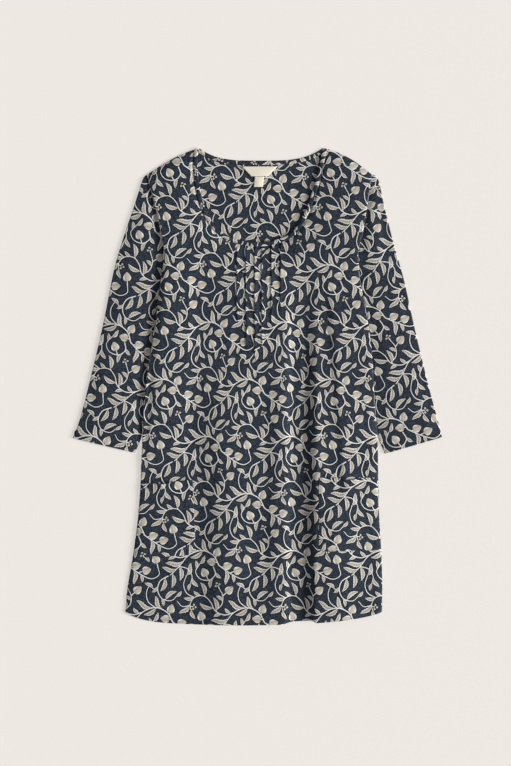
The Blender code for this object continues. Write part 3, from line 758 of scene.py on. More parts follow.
@dataclass(frozen=True)
class Cutter:
    """Cuts printed cloth: lays the print on a flat outline and makes its triangles."""

    vine: VinePrint
    grain: float = 5.0
    keyline: float = 1.8  # drawn wide: a real line of about 0.5 mm would hardly show
    many_corners: int = 12  # a keyline with more corners than this keeps every other one
    print_turn: float = math.radians(90.0)  # the vines run across the cloth's grain
    spill: float = 40.0  # no motif reaches farther than this from its repeat
    merge: float = 1e-4  # points nearer than this are one
    clear: float = 0.55  # a free point keeps about this share of the spacing from others

    def tile(self, outline: Array, turn: float, shift: Spot) -> list[Printed]:
        """The motifs that touch an outline.

        Args:
            outline: The cloth's outline, in mm.
            turn: How far the print is turned on the cloth, in radians.
            shift: How far it is moved, in mm.

        Returns:
            The motifs, in the cloth's plane.
        """
        turn = turn + self.print_turn
        flat = turned(outline - np.array(shift), -turn)
        repeat = np.array([self.vine.across, self.vine.down])
        low = flat.min(axis=0) - repeat - self.spill
        high = flat.max(axis=0) + repeat + self.spill
        count = (np.maximum(abs(low), abs(high)) / repeat).astype(int) + 1
        found = []
        for i in range(-count[0], count[0] + 1):
            for j in range(-count[1], count[1] + 1):
                lift = j * self.vine.down + (i % 2) * self.vine.down / 2
                move = np.array([i * self.vine.across, lift])
                if (move < low).any() or (move > high).any():
                    continue
                for m in self.vine.motifs:
                    shape = turned(m.outline + move, turn) + shift
                    base = turned((m.base + move)[None], turn)[0] + shift
                    size = (m.length, m.width, m.bend, m.sway, m.tone)
                    found.append(Printed(m.motif, shape, base, m.angle + turn, *size))
        corners = np.vstack([m.outline for m in found])
        owner = np.repeat(np.arange(len(found)), [len(m.outline) for m in found])
        touching = np.zeros(len(found), bool)
        touching[owner[within(corners, outline)]] = True
        return [m for m, touches in zip(found, touching) if touches]

    def fill(self, outline: Array, taken: Array, spacing: float) -> Array:
        """Free points over an outline, clear of those that are there already."""
        low, high = outline.min(axis=0), outline.max(axis=0)
        across, up = np.meshgrid(
            np.arange(low[0], high[0], spacing), np.arange(low[1], high[1], spacing)
        )
        across = across + (np.arange(len(across)) % 2)[:, None] * spacing / 2
        free = np.column_stack([across.ravel(), up.ravel()])
        cell = spacing * self.clear
        full = {(int(a), int(b)) for a, b in np.floor(taken / cell)}
        around = [(i, j) for i in (-1, 0, 1) for j in (-1, 0, 1)]
        keep = [
            not any((int(a) + i, int(b) + j) in full for i, j in around)
            for a, b in np.floor(free / cell)
        ]
        free = free[np.array(keep)]
        return free[within(free, outline)]

    def cut(self, outline: Array, lines: list[Array], turn: float, shift: Spot) -> CutCloth:
        """Cuts one piece of cloth.

        Args:
            outline: Its closed outline, anticlockwise, in mm.
            lines: Open lines that the triangles must follow, such as fold lines.
            turn: How far the print is turned on it, in radians.
            shift: How far the print is moved on it, in mm.

        Returns:
            The flat cloth.
        """
        motifs = self.tile(outline, turn, shift)
        shapes = [outline]
        for m in motifs:
            a, b = m.outline, np.roll(m.outline, -1, axis=0)
            clockwise = (a[:, 0] * b[:, 1] - b[:, 0] * a[:, 1]).sum() < 0
            shape = m.outline[::-1] if clockwise else m.outline
            ring = swollen(shape, self.keyline)
            shapes += [shape, ring[::2] if len(ring) > self.many_corners else ring]
        starts = np.cumsum([0] + [len(s) for s in shapes])
        faces = [list(range(a, b)) for a, b in zip(starts, starts[1:])]
        spots = list(shapes)
        edges = []
        count = int(starts[-1])
        for line in lines:
            edges += [(count + i, count + i + 1) for i in range(len(line) - 1)]
            spots.append(line)
            count += len(line)
        taken = np.vstack(spots)
        spots = np.vstack([taken, self.fill(outline, taken, self.grain)])
        flat = [Vector(p) for p in spots.tolist()]
        found = delaunay_2d_cdt(flat, edges, faces, 0, self.merge, True)
        owners = [own for own in found[5] if 0 in own]
        triangles = np.array([tri for tri, own in zip(found[2], found[5]) if 0 in own])
        # Face 0 is the cloth, each odd face a motif and the even one after it its keyline.
        top = np.array([max([face for face in own if face % 2], default=-1) for own in owners])
        printed_by = np.where(top > 0, (top - 1) // 2, -1)
        bare = np.where([any(own) for own in owners], Ink.KEYLINE, Ink.NONE)
        materials = np.where(printed_by >= 0, Ink.CREAM, bare)
        used, triangles = np.unique(triangles, return_inverse=True)
        triangles = triangles.reshape(-1, 3)
        points = np.array([tuple(found[0][k]) for k in used])
        places = self.places(points, triangles, printed_by, motifs)
        pairs = np.vstack([triangles[:, [0, 1]], triangles[:, [1, 2]], triangles[:, [2, 0]]])
        keyed, times = np.unique(np.sort(pairs, axis=1), axis=0, return_counts=True)
        edge = np.unique(keyed[times == 1])
        return CutCloth(points, triangles, materials, places, edge)

    def places(
        self, points: Array, triangles: Array, printed_by: Array, motifs: list[Printed]
    ) -> Array:
        """Where each corner of each triangle lies in its motif.

        Args:
            points: The cloth's points.
            triangles: The corners of each triangle.
            printed_by: The motif on each triangle, or -1.
            motifs: All the motifs.

        Returns:
            For each corner: mm along the motif, its place across from -1 to 1, and the
            motif's kind with its tone as the fraction.
        """
        if not motifs:
            return np.zeros((len(triangles), 3, 3))
        owner = np.maximum(printed_by, 0)
        base = np.array([m.base for m in motifs])[owner][:, None]
        angle = np.array([m.angle for m in motifs])[owner][:, None]
        size = np.array([(m.length, m.width, m.bend, m.sway) for m in motifs])[owner]
        kind = np.array([m.motif + 0.8 * m.tone for m in motifs])[owner]
        leaf = np.array([m.motif is Motif.LEAF for m in motifs])[owner][:, None]
        away = points[triangles] - base
        along = away[..., 0] * np.cos(angle) + away[..., 1] * np.sin(angle)
        aside = away[..., 1] * np.cos(angle) - away[..., 0] * np.sin(angle)
        length, width, bend, sway = (size[:, k][:, None] for k in range(4))
        u = np.clip(along / length, 0.0, 1.0)
        middle = length * mid_rib(u, bend, sway)
        half = width / 2 * np.maximum(lance(u), 0.02)
        across = np.where(leaf, (aside - middle) / half, aside / (width / 2))
        result = np.stack([along, np.clip(across, -1.0, 1.0), np.repeat(kind[:, None], 3, 1)], 2)
        result[printed_by < 0] = 0.0
        return result


@dataclass
class ClothRows:
    """Cloth held as rows: a flat point is found by its distance along its row."""

    drops: Array
    runs: Array
    keys: Array
    points: Array

    @classmethod
    def from_points(cls, drops: Array, keys: Array, points: Array) -> "ClothRows":
        """Makes the rows from points (row, place, xyz) in mm, with 0 at key 0."""
        steps = np.linalg.norm(np.diff(points, axis=1), axis=2)
        runs = np.concatenate([np.zeros((len(drops), 1)), np.cumsum(steps, axis=1)], axis=1)
        for k in range(len(drops)):
            runs[k] -= np.interp(0.0, keys[k], runs[k])
        return cls(drops, runs, keys, points)

    def row_of(self, drop: Array) -> tuple[Array, Array]:
        """The row above each drop, and how far it is on the way to the next."""
        step = self.drops[1] - self.drops[0]
        at = np.clip((drop - self.drops[0]) / step, 0.0, len(self.drops) - 1.001)
        row = at.astype(int)
        return row, at - row

    def read(self, at: Array, drop: Array, places: Array, values: Array) -> Array:
        """Reads values from the rows at a place along them and a drop."""
        row, share = self.row_of(drop)
        found = np.zeros(len(at))
        for r in np.unique(row):
            mine = row == r
            above = np.interp(at[mine], places[r], values[r])
            below = np.interp(at[mine], places[r + 1], values[r + 1])
            found[mine] = above + (below - above) * share[mine]
        return found

    def flatten(self, plan: Array) -> Array:
        """Points (x, drop) on the laid cloth as flat points (along, up) of the cut one."""
        run = self.read(plan[:, 0], plan[:, 1], self.keys, self.runs)
        return np.column_stack([run, -plan[:, 1]])

    def lay(self, flat: Array) -> Array:
        """Flat points laid on the garment's shape, as (x, drop, height) in mm."""
        along, drop = flat[:, 0], -flat[:, 1]
        x, z = (self.read(along, drop, self.runs, self.points[..., k]) for k in (0, 2))
        return np.column_stack([x, drop, z])


@dataclass(frozen=True)
class TurnedEdge:
    """A hem: the cloth rolls over and runs back inside, in mm."""

    allowance: float
    radius: float = 0.55

    def turn(self, past: Array) -> tuple[Array, Array]:
        """Where cloth past the start of the roll goes.

        Args:
            past: Distance of each point past the start of the roll; less than 0 before it.

        Returns:
            How far each point lies past the start of the roll once it is turned, and how
            far below the outer cloth.
        """
        angle = np.clip(past / self.radius, 0.0, math.pi)
        back = np.maximum(past - math.pi * self.radius, 0.0)
        moved = np.where(past < 0, past, self.radius * np.sin(angle) - back)
        return moved, self.radius * (1 - np.cos(angle))


def placed(name: str, data: bpy.types.ID) -> bpy.types.Object:
    """Puts a new object into the scene."""
    thing = bpy.data.objects.new(name, data)
    bpy.context.scene.collection.objects.link(thing)
    return thing


def cloth_object(name: str, cut: CutCloth, laid: Array, finishes: list) -> bpy.types.Object:
    """Makes a mesh object from cut cloth.

    Args:
        name: The piece's name.
        cut: The flat cloth.
        laid: Its points on the garment, (x, drop, height) in mm.
        finishes: The materials of the ground, the motifs and their keyline.

    Returns:
        The object.
    """
    world = np.column_stack([laid[:, 0], NECK_Y - laid[:, 1], laid[:, 2]]) * MM
    mesh = bpy.data.meshes.new(name)
    mesh.from_pydata(world.tolist(), [], cut.triangles.tolist())
    for finish in finishes:
        mesh.materials.append(finish)
    mesh.polygons.foreach_set("material_index", cut.materials.astype(np.int32))
    place = mesh.attributes.new(PLACE, "FLOAT_VECTOR", "CORNER")
    place.data.foreach_set("vector", cut.places.astype(np.float32).ravel())
    mesh.shade_smooth()
    return placed(name, mesh)


def attach(piece: bpy.types.Object, slot: str, *nodes: str) -> None:
    """Lets a piece ride on the garment in place of its CAD nodes."""
    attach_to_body(piece, BODY)
    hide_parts(*nodes)
    LOG.info("%s: %d faces", piece.name, len(piece.data.polygons))


# ------------------------------------------------------------------------------ finishes
def add_node(
    tree: bpy.types.NodeTree, kind: str, inputs: dict, output: int | str = 0, **settings
) -> bpy.types.NodeSocket:
    """Adds one shader node.

    Args:
        tree: The material's nodes.
        kind: The node's type.
        inputs: What goes into its sockets, by name or number: a value, or another
            node's output.
        output: The name or number of the output that is wanted.
        settings: The node's own settings.

    Returns:
        That output.
    """
    node = tree.nodes.new(kind)
    for name, value in settings.items():
        setattr(node, name, value)
    for key, value in inputs.items():
        if isinstance(value, bpy.types.NodeSocket):
            tree.links.new(value, node.inputs[key])
        else:
            node.inputs[key].default_value = value
    return node.outputs[output]


def new_material(name: str, even: dict) -> tuple[bpy.types.Material, bpy.types.Node]:
    """Makes a material with a Principled shader.

    Args:
        name: The material's name.
        even: What is the same all over it, by the names of the shader's sockets.

    Returns:
        The material and its shader.
    """
    material = bpy.data.materials.new(name)
    material.use_nodes = True
    shader = material.node_tree.nodes["Principled BSDF"]
    for socket, value in even.items():
        shader.inputs[socket].default_value = value
    return material, shader


def wave_scale(period_mm: float) -> float:
    """The scale of a wave texture whose bands repeat every so many millimetres."""
    return 2 * math.pi / (20.0 * period_mm * MM)


def noise_scale(size_mm: float) -> float:
    """The scale of a noise texture whose blotches are so many millimetres wide."""
    return 1 / (size_mm * MM)


@dataclass(frozen=True)
class PlainWeave:
    """The relief of a plain-woven cotton. Its threads are about 0.35 mm apart, too fine
    for a view of the whole garment, so they are drawn 1.1 mm apart."""

    thread_mm: float = 1.1
    depth_mm: float = 0.10
    slub_mm: float = 7.0
    slub_share: float = 1.6

    def bump(self, tree: bpy.types.NodeTree, strength: float) -> bpy.types.NodeSocket:
        """Adds the weave and its slubs, and returns the normal they give."""
        place = add_node(tree, "ShaderNodeTexCoord", {}, "Object")
        threads = {"Vector": place, "Scale": wave_scale(self.thread_mm), "Distortion": 0.6}
        warp = add_node(tree, "ShaderNodeTexWave", threads, "Fac", bands_direction="X")
        weft = add_node(tree, "ShaderNodeTexWave", threads, "Fac", bands_direction="Y")
        weave = add_node(tree, "ShaderNodeMath", {0: warp, 1: weft}, operation="MULTIPLY")
        thick = {"Vector": place, "Scale": noise_scale(self.slub_mm), "Detail": 3.0}
        slubs = add_node(tree, "ShaderNodeTexNoise", thick)
        both = {0: slubs, 1: self.slub_share, 2: weave}
        height = add_node(tree, "ShaderNodeMath", both, operation="MULTIPLY_ADD")
        relief = {"Height": height, "Strength": strength, "Distance": self.depth_mm * MM}
        return add_node(tree, "ShaderNodeBump", relief)


@dataclass(frozen=True)
class NavyCotton:
    """Cotton poplin, piece-dyed navy and pressed: matt, a little lighter where the
    thread has rubbed, which keeps the dark ground from looking like paint."""

    ground: str = "#202a36"
    deep: str = "#131920"
    rubbed: str = "#3a4451"
    bloom: str = "#9fb2cf"
    cloud_mm: float = 1000 / 22
    speck_mm: float = 1000 / 380
    weave: PlainWeave = PlainWeave()

    def make(self) -> bpy.types.Material:
        """Makes the material."""
        material, shader = new_material(
            "printed_cotton_navy_ground",
            {
                "Roughness": 0.82,
                "IOR": 1.47,
                "Specular IOR Level": 0.2,
                "Sheen Weight": 0.03,
                "Sheen Roughness": 0.5,
                "Sheen Tint": linear(self.bloom),
            },
        )
        tree = material.node_tree
        place = add_node(tree, "ShaderNodeTexCoord", {}, "Object")
        cloudy = {"Vector": place, "Scale": noise_scale(self.cloud_mm), "Detail": 4.0}
        share = add_node(tree, "ShaderNodeTexNoise", cloudy)
        dyes = {"Factor": share, 6: linear(self.deep), 7: linear(self.ground)}
        dyed = add_node(tree, "ShaderNodeMix", dyes, 2, data_type="RGBA")
        fine = {"Vector": place, "Scale": noise_scale(self.speck_mm), "Detail": 3.0}
        specks = add_node(tree, "ShaderNodeTexNoise", fine)
        limits = {"Value": specks, "From Min": 0.4, "From Max": 0.68, "To Max": 0.9}
        worn = add_node(tree, "ShaderNodeMapRange", limits)
        layers = {"Factor": worn, 6: dyed, 7: linear(self.rubbed)}
        colour = add_node(tree, "ShaderNodeMix", layers, 2, data_type="RGBA")
        tree.links.new(colour, shader.inputs["Base Color"])
        tree.links.new(self.weave.bump(tree, 0.5), shader.inputs["Normal"])
        return material


@dataclass(frozen=True)
class CreamPrint:
    """Cream pigment screen-printed on the cotton: a light rim, a duller hatched middle
    and a brown beaded mid-rib, so that each leaf reads as drawn by hand. The hatching and
    the beads are drawn about twice as coarse as they would be printed, so that they show."""

    rim: str = "#eae9e6"
    middle: str = "#cac3b5"
    rib: str = "#685d4c"
    stem: str = "#dad9d5"
    rubbed: str = "#a9a59c"
    hatch_mm: float = 2.4
    hatch_slant: float = -2.6
    bead_mm: float = 3.2
    speck_mm: float = 2.0
    tones: float = 0.22
    weave: PlainWeave = PlainWeave()

    def stripes(
        self, tree: bpy.types.NodeTree, at: bpy.types.NodeSocket, period_mm: float, fade: Spot
    ) -> bpy.types.NodeSocket:
        """Draws soft stripes.

        Args:
            tree: The material's nodes.
            at: A distance in mm.
            period_mm: How far apart the stripes are.
            fade: The heights of the wave between which a stripe fades in.

        Returns:
            1 on a stripe and 0 between two.
        """
        turns = {0: at, 1: 2 * math.pi / period_mm}
        turns = add_node(tree, "ShaderNodeMath", turns, operation="MULTIPLY")
        wave = add_node(tree, "ShaderNodeMath", {0: turns}, operation="SINE")
        limits = {"Value": wave, "From Min": fade[0], "From Max": fade[1]}
        return add_node(tree, "ShaderNodeMapRange", limits)

    def hatching(
        self, tree: bpy.types.NodeTree, along: bpy.types.NodeSocket, across: bpy.types.NodeSocket
    ) -> bpy.types.NodeSocket:
        """Hatches a motif, more on one side of its mid-rib than on the other.

        Args:
            tree: The material's nodes.
            along: mm along the motif.
            across: The place across it, from -1 to 1.

        Returns:
            The share of brown.
        """
        away = add_node(tree, "ShaderNodeMath", {0: across}, operation="ABSOLUTE")
        slant = {0: away, 1: self.hatch_slant, 2: along}
        slanted = add_node(tree, "ShaderNodeMath", slant, operation="MULTIPLY_ADD")
        hatch = self.stripes(tree, slanted, self.hatch_mm, (-0.2, 0.6))
        limits = {"Value": across, "From Min": -0.1, "From Max": 0.2}
        limits |= {"To Min": 0.3, "To Max": 0.85}
        side = add_node(tree, "ShaderNodeMapRange", limits)
        return add_node(tree, "ShaderNodeMath", {0: hatch, 1: side}, operation="MULTIPLY")

    def mid_rib(
        self, tree: bpy.types.NodeTree, along: bpy.types.NodeSocket, away: bpy.types.NodeSocket
    ) -> bpy.types.NodeSocket:
        """Draws a beaded mid-rib.

        Args:
            tree: The material's nodes.
            along: mm along the motif.
            away: Distance from its middle line, from 0 to 1.

        Returns:
            The share of brown.
        """
        limits = {"Value": away, "From Min": 0.26, "From Max": 0.1, "To Max": 0.95}
        line = add_node(tree, "ShaderNodeMapRange", limits)
        beads = self.stripes(tree, along, self.bead_mm, (-0.7, -0.1))
        return add_node(tree, "ShaderNodeMath", {0: line, 1: beads}, operation="MULTIPLY")

    def make(self) -> bpy.types.Material:
        """Makes the material, one ink over the other, from each point's place in its motif."""
        even = {"Roughness": 0.86, "IOR": 1.47}
        material, shader = new_material("printed_cotton_cream_motif", even)
        tree = material.node_tree
        place = add_node(tree, "ShaderNodeAttribute", {}, "Vector", attribute_name=PLACE)
        parts = add_node(tree, "ShaderNodeSeparateXYZ", {0: place}).node.outputs
        along, across, kind = parts[0], parts[1], parts[2]
        away = add_node(tree, "ShaderNodeMath", {0: across}, operation="ABSOLUTE")
        edge = {"Value": away, "From Min": 0.55, "From Max": 0.86}
        not_bud = {0: kind, 1: Motif.BUD - 0.05}
        not_bud = add_node(tree, "ShaderNodeMath", not_bud, operation="LESS_THAN")
        rib = {0: self.mid_rib(tree, along, away), 1: not_bud}
        tone = add_node(tree, "ShaderNodeMath", {0: kind}, operation="FRACT")
        tone = {0: tone, 1: self.tones}
        is_stem = {0: kind, 1: Motif.LEAF - 0.05}
        spot = add_node(tree, "ShaderNodeTexCoord", {}, "Object")
        fine = {"Vector": spot, "Scale": noise_scale(self.speck_mm), "Detail": 3.0}
        worn = add_node(tree, "ShaderNodeTexNoise", fine)
        worn = {"Value": worn, "From Min": 0.5, "From Max": 0.8, "To Max": 0.5}
        layers = (
            (self.hatching(tree, along, across), self.rib),
            (add_node(tree, "ShaderNodeMapRange", edge), self.rim),
            (add_node(tree, "ShaderNodeMath", rib, operation="MULTIPLY"), self.rib),
            (add_node(tree, "ShaderNodeMath", tone, operation="MULTIPLY"), self.rib),
            (add_node(tree, "ShaderNodeMath", is_stem, operation="LESS_THAN"), self.stem),
            (add_node(tree, "ShaderNodeMapRange", worn), self.rubbed),
        )
        colour = linear(self.middle)
        for share, ink in layers:
            laid = {"Factor": share, 6: colour, 7: linear(ink)}
            colour = add_node(tree, "ShaderNodeMix", laid, 2, data_type="RGBA")
        tree.links.new(colour, shader.inputs["Base Color"])
        tree.links.new(self.weave.bump(tree, 0.4), shader.inputs["Normal"])
        return material


@dataclass(frozen=True)
class KeylineInk:
    """Black pigment screen-printed as a line round each motif, heavier in some places than
    in others: it sets the cream off from the navy, so that the print looks crisp."""

    ink: str = "#0f0f10"
    ground: str = NavyCotton.ground
    patch_mm: float = 1000 / 110
    weave: PlainWeave = PlainWeave()

    def make(self) -> bpy.types.Material:
        """Makes the material."""
        even = {"Roughness": 0.86, "IOR": 1.47, "Specular IOR Level": 0.2}
        material, shader = new_material("printed_cotton_black_keyline", even)
        tree = material.node_tree
        place = add_node(tree, "ShaderNodeTexCoord", {}, "Object")
        patches = {"Vector": place, "Scale": noise_scale(self.patch_mm), "Detail": 3.0}
        patches = add_node(tree, "ShaderNodeTexNoise", patches)
        limits = {"Value": patches, "From Min": 0.38, "From Max": 0.6}
        thin = add_node(tree, "ShaderNodeMapRange", limits)
        inks = {"Factor": thin, 6: linear(self.ink), 7: linear(self.ground)}
        colour = add_node(tree, "ShaderNodeMix", inks, 2, data_type="RGBA")
        tree.links.new(colour, shader.inputs["Base Color"])
        tree.links.new(self.weave.bump(tree, 0.4), shader.inputs["Normal"])
        return material


@dataclass(frozen=True)
class LabelTape:
    """Cream polyester label tape, woven as a satin with ribs across it: smoother and a
    little shinier than the cotton round it. Its ribs are drawn three times too coarse."""

    tape: str = "#ebe4d2"
    shade: str = "#d6ccb4"
    rib_mm: float = 0.9
    depth_mm: float = 0.1

    def make(self) -> bpy.types.Material:
        """Makes the material."""
        even = {"Roughness": 0.55, "IOR": 1.5}
        material, shader = new_material("woven_polyester_label_tape", even)
        tree = material.node_tree
        place = add_node(tree, "ShaderNodeTexCoord", {}, "Object")
        ribbed = {"Vector": place, "Scale": wave_scale(self.rib_mm), "Distortion": 0.3}
        ribs = add_node(tree, "ShaderNodeTexWave", ribbed, "Fac", bands_direction="Y")
        share = add_node(tree, "ShaderNodeMapRange", {"Value": ribs, "To Max": 0.45})
        yarns = {"Factor": share, 6: linear(self.tape), 7: linear(self.shade)}
        colour = add_node(tree, "ShaderNodeMix", yarns, 2, data_type="RGBA")
        relief = {"Height": ribs, "Strength": 0.4, "Distance": self.depth_mm * MM}
        tree.links.new(colour, shader.inputs["Base Color"])
        tree.links.new(add_node(tree, "ShaderNodeBump", relief), shader.inputs["Normal"])
        return material


@dataclass(frozen=True)
class OpalFloorWithPaintedGlow:
    """Opal acrylic sheet, sanded matt: an even, almost glossless warm white. Part of its
    brightness is a painted glow, light that the sheet emits with no lamp behind it, so
    that shadows on it stay pale."""

    sheet: str = "#ece7e1"
    # share of the sheet's brightness that is painted glow: emitted light, no lamp, keeping
    # shadows pale
    painted_glow: float = 0.62
    grit_mm: float = 2.5  # real sanding marks are far finer and wouldn't show
    depth_mm: float = 0.2

    def make(self) -> bpy.types.Material:
        """Makes the material."""
        light = linear(self.sheet)
        material, shader = new_material(
            "sanded_opal_acrylic",
            {
                # painted glow: the sheet's colour is dimmed by the share that it emits as light
                # instead
                "Base Color": (*(value * (1 - self.painted_glow) for value in light[:3]), 1.0),
                "Emission Color": light,
                "Emission Strength": self.painted_glow,
                "Roughness": 0.9,
            },
        )
        tree = material.node_tree
        place = add_node(tree, "ShaderNodeTexCoord", {}, "Object")
        sanded = {"Vector": place, "Scale": noise_scale(self.grit_mm), "Detail": 2.0}
        marks = add_node(tree, "ShaderNodeTexNoise", sanded)
        relief = {"Height": marks, "Strength": 0.08, "Distance": self.depth_mm * MM}
        tree.links.new(add_node(tree, "ShaderNodeBump", relief), shader.inputs["Normal"])
        return material


# ---------------------------------------------------------------------- the front panel
# a tuck from its stitch line round and back: aside, as a share of its depth, and mm up
TUCK_PATH = ((0.0, 0.05), (0.04, 0.2), (-1.0, 0.3), (-1.12, 0.65), (-1.0, 1.08), (0.0, 0.6))
# how the front turns down to a side seam: mm out, and the share of its height it keeps
CURL = ((0.35, 0.80), (0.6, 0.58), (0.45, 0.38), (0.0, 0.0))
KEY_STEP = 1e-4  # mm between the keys of columns that lie over one another
# where the flat cloth gets extra edges, so that it can bend there, in mm
NECK_LINES = (6.2, 7.6, 9.0, 11.0)  # from the neck's edge
SIDE_LINES = (1.2, 3.0, 5.5, 9.0)  # from the side seam
HEM_LINES = (-1.4, -0.9, -0.45, 0.0, 0.5, 1.2)  # below the hem
SEAM_RUN = (60.0, 780.0)  # the drops between which such lines follow a side seam
HEM_RUN = (-216.0, 203.0)  # the x between which they follow the hem


@dataclass
class FrontPanel:
    """The front: a scooped neck, six pintucks, a deep pleat and soft folds."""

    cutter: Cutter
    print_shift: Spot = (12.0, -30.0)
    rows_from: float = -8.0
    rows_past: float = 6.0
    row_step: float = 2.5
    side_columns: tuple[int, int] = (190, 210)
    columns_between: int = 12
    tuck_top: float = 168.0
    tuck_depth: float = 2.2
    tuck_release: float = 16.0
    tuck_relax: float = 1.8
    ease_length: float = 420.0
    ease_width: float = 80.0
    under_binding: float = 4.0
    side_turn: float = 1.0
    fold_reach: float = 150.0  # folds farther out are too soft to need edges of their own
    hem: TurnedEdge = TurnedEdge(18.0)

    def rows(self) -> ClothRows:
        """The laid front as rows across the body, with the tucks folded in."""
        drops = np.arange(self.rows_from, SHAPE.length + self.rows_past, self.row_step)
        level = np.clip(drops, SHAPE.tip, SHAPE.corner)
        left, right = SHAPE.side(-1, level), SHAPE.side(1, level)
        stops = [left] + [np.full(len(drops), tuck.x) for tuck in TUCKS] + [right]
        between = [self.columns_between] * (len(TUCKS) - 1)
        counts = [self.side_columns[0], *between, self.side_columns[1]]
        grown = [self.tuck_growth(tuck, drops)[:, None] for tuck in TUCKS]
        path = np.array(TUCK_PATH)
        keys = []
        xs = []
        lifts = []
        for i, count in enumerate(counts):
            share = np.linspace(0.0, 1.0, count)[None]
            x = stops[i][:, None] * (1 - share) + stops[i + 1][:, None] * share
            lift = np.zeros_like(x)
            if i > 0:
                past = x - TUCKS[i - 1].x
                lift = path[-1, 1] * np.exp(-past / self.tuck_relax) * grown[i - 1]
            keys.append(x)
            xs.append(x)
            lifts.append(lift)
            if i < len(TUCKS):
                tuck, grow = TUCKS[i], grown[i]
                ahead = path[None, :, 0] * self.tuck_depth
                keys.append(tuck.x + KEY_STEP * np.arange(len(path))[None] + 0 * grow)
                xs.append(tuck.x + ahead * grow)
                lifts.append(path[None, :, 1] * grow)
        key = np.concatenate(keys, axis=1)
        x = np.concatenate(xs, axis=1)
        drop = np.repeat(drops[:, None], x.shape[1], axis=1)
        height = SHAPE.front_height(x, drop) + np.concatenate(lifts, axis=1)
        return self.ease_below_tucks(self.with_curled_sides(drops, key, x, height))

    def tuck_growth(self, tuck: Tuck, drops: Array) -> Array:
        """How much of a tuck is folded at each drop, from 0 to 1."""
        return smooth_step((tuck.drop_end - drops) / self.tuck_release)

    def ease_below_tucks(self, rows: ClothRows) -> ClothRows:
        """Lets the cloth that a tuck sets free ease in slowly, so the print isn't torn."""
        for tuck in TUCKS:
            taken = 2 * self.tuck_depth * self.tuck_growth(tuck, rows.drops)
            below = smooth_step((rows.drops - tuck.drop_end) / self.ease_length)
            kept = 2 * self.tuck_depth * (1 - below)
            side = math.copysign(1.0, tuck.x)
            outward = smooth_step(side * (rows.keys - tuck.x) / self.ease_width)
            rows.runs += side * (kept - taken)[:, None] * outward
        return rows

    def with_curled_sides(self, drops: Array, key: Array, x: Array, height: Array) -> ClothRows:
        """Adds the short curl by which the front turns down to its side seams.

        Args:
            drops: Each row's drop.
            key: Each row's keys, from left to right.
            x: Where those columns lie.
            height: How high they lie.

        Returns:
            The rows, with the curls at both ends.
        """
        out, kept = np.array(CURL).T[:, None]
        low = SHAPE.seam_height
        steps = 10 * KEY_STEP * np.arange(1, len(CURL) + 1)[None]
        for side in (-1, 1):  # each table is read towards this side, and the curl added
            edge_x, edge_z = (table[:, ::side][:, -1:] for table in (x, height))
            curl = (edge_x + side * steps, edge_x + side * out, low + (edge_z - low) * kept)
            key, x, height = (
                np.concatenate([table[:, ::side], more], axis=1)[:, ::side]
                for table, more in zip((key, x, height), curl)
            )
        drop = np.repeat(drops[:, None], x.shape[1], axis=1)
        return ClothRows.from_points(drops, key, np.stack([x, drop, height], axis=2))

    def outline(self, rows: ClothRows) -> Array:
        """The flat outline of the front, with its hem allowance, anticlockwise."""
        neck = moved_aside(SHAPE.front_neck_curve(3.0), self.under_binding)
        neck = SHAPE.held_below_shoulder(neck)
        parts = SHAPE.sides(neck[0, 0], neck[-1, 0], 4.0)
        parts[1][:, 0] -= self.side_turn
        parts[3][:, 0] += self.side_turn
        hem = parts[2].copy()
        hem[:, 1] += self.hem.allowance
        parts[2] = np.vstack([parts[2][:1], hem[1:-1], parts[2][-1:]])
        around = np.vstack([p[:-1] for p in parts] + [neck[::-1][:-1]])
        return rows.flatten(around)

    def lines(self, rows: ClothRows) -> list[Array]:
        """Fold lines of the tucks, pleat, sides and hem, in the flat cloth."""
        found = []
        first = len(CURL) + self.side_columns[0]
        columns = len(TUCK_PATH) + 3  # a tuck's own and the first beyond it, where it relaxes
        for i, tuck in enumerate(TUCKS):
            start = first + i * (self.columns_between + len(TUCK_PATH))
            mine = (rows.drops > self.tuck_top) & (rows.drops < tuck.drop_end)
            for k in range(start, start + columns):
                run = rows.runs[mine, k]
                found.append(np.column_stack([run, -rows.drops[mine]])[::2])
        for fold in FRONT_FOLDS:
            drops = np.arange(fold.drop_top + 60.0, fold.drop_end - 20.0, 6.0)
            for aside in (-fold.floor, fold.floor, fold.floor + fold.bank_right):
                x = fold.middle(drops) + aside
                if np.abs(x).max() < self.fold_reach:
                    found.append(rows.flatten(np.column_stack([x, drops])))
        for aside in NECK_LINES:
            beside = moved_aside(SHAPE.front_neck_curve(3.0), aside)[6:-6]
            found.append(rows.flatten(beside))
        drops = np.arange(*SEAM_RUN, 5.0)
        for inside in SIDE_LINES:
            for side in (-1, 1):
                x = SHAPE.side(side, drops) - side * inside
                found.append(rows.flatten(np.column_stack([x, drops])))
        x = np.linspace(*HEM_RUN, 140)
        for past in HEM_LINES:
            found.append(rows.flatten(np.column_stack([x, SHAPE.hem(x) + past])))
        return found

    def lay(self, rows: ClothRows, flat: Array) -> Array:
        """Lays the flat front and turns its hem inside."""
        x = rows.lay(flat)[:, 0]
        start = SHAPE.hem(x) - self.hem.radius
        moved, below = self.hem.turn(-flat[:, 1] - start)
        laid = rows.lay(np.column_stack([flat[:, 0], -(start + np.minimum(moved, 0.0))]))
        laid[:, 1] = start + moved
        laid[:, 2] -= below
        return laid

    def build(self, rows: ClothRows, finishes: list) -> bpy.types.Object:
        """Builds and dresses the front over its rows."""
        outline = self.outline(rows)
        cut = self.cutter.cut(outline, self.lines(rows), 0.0, self.print_shift)
        piece = cloth_object("tunic_front", cut, self.lay(rows, cut.points), finishes)
        attach(piece, "printed_cotton", "front_panel")
        return piece


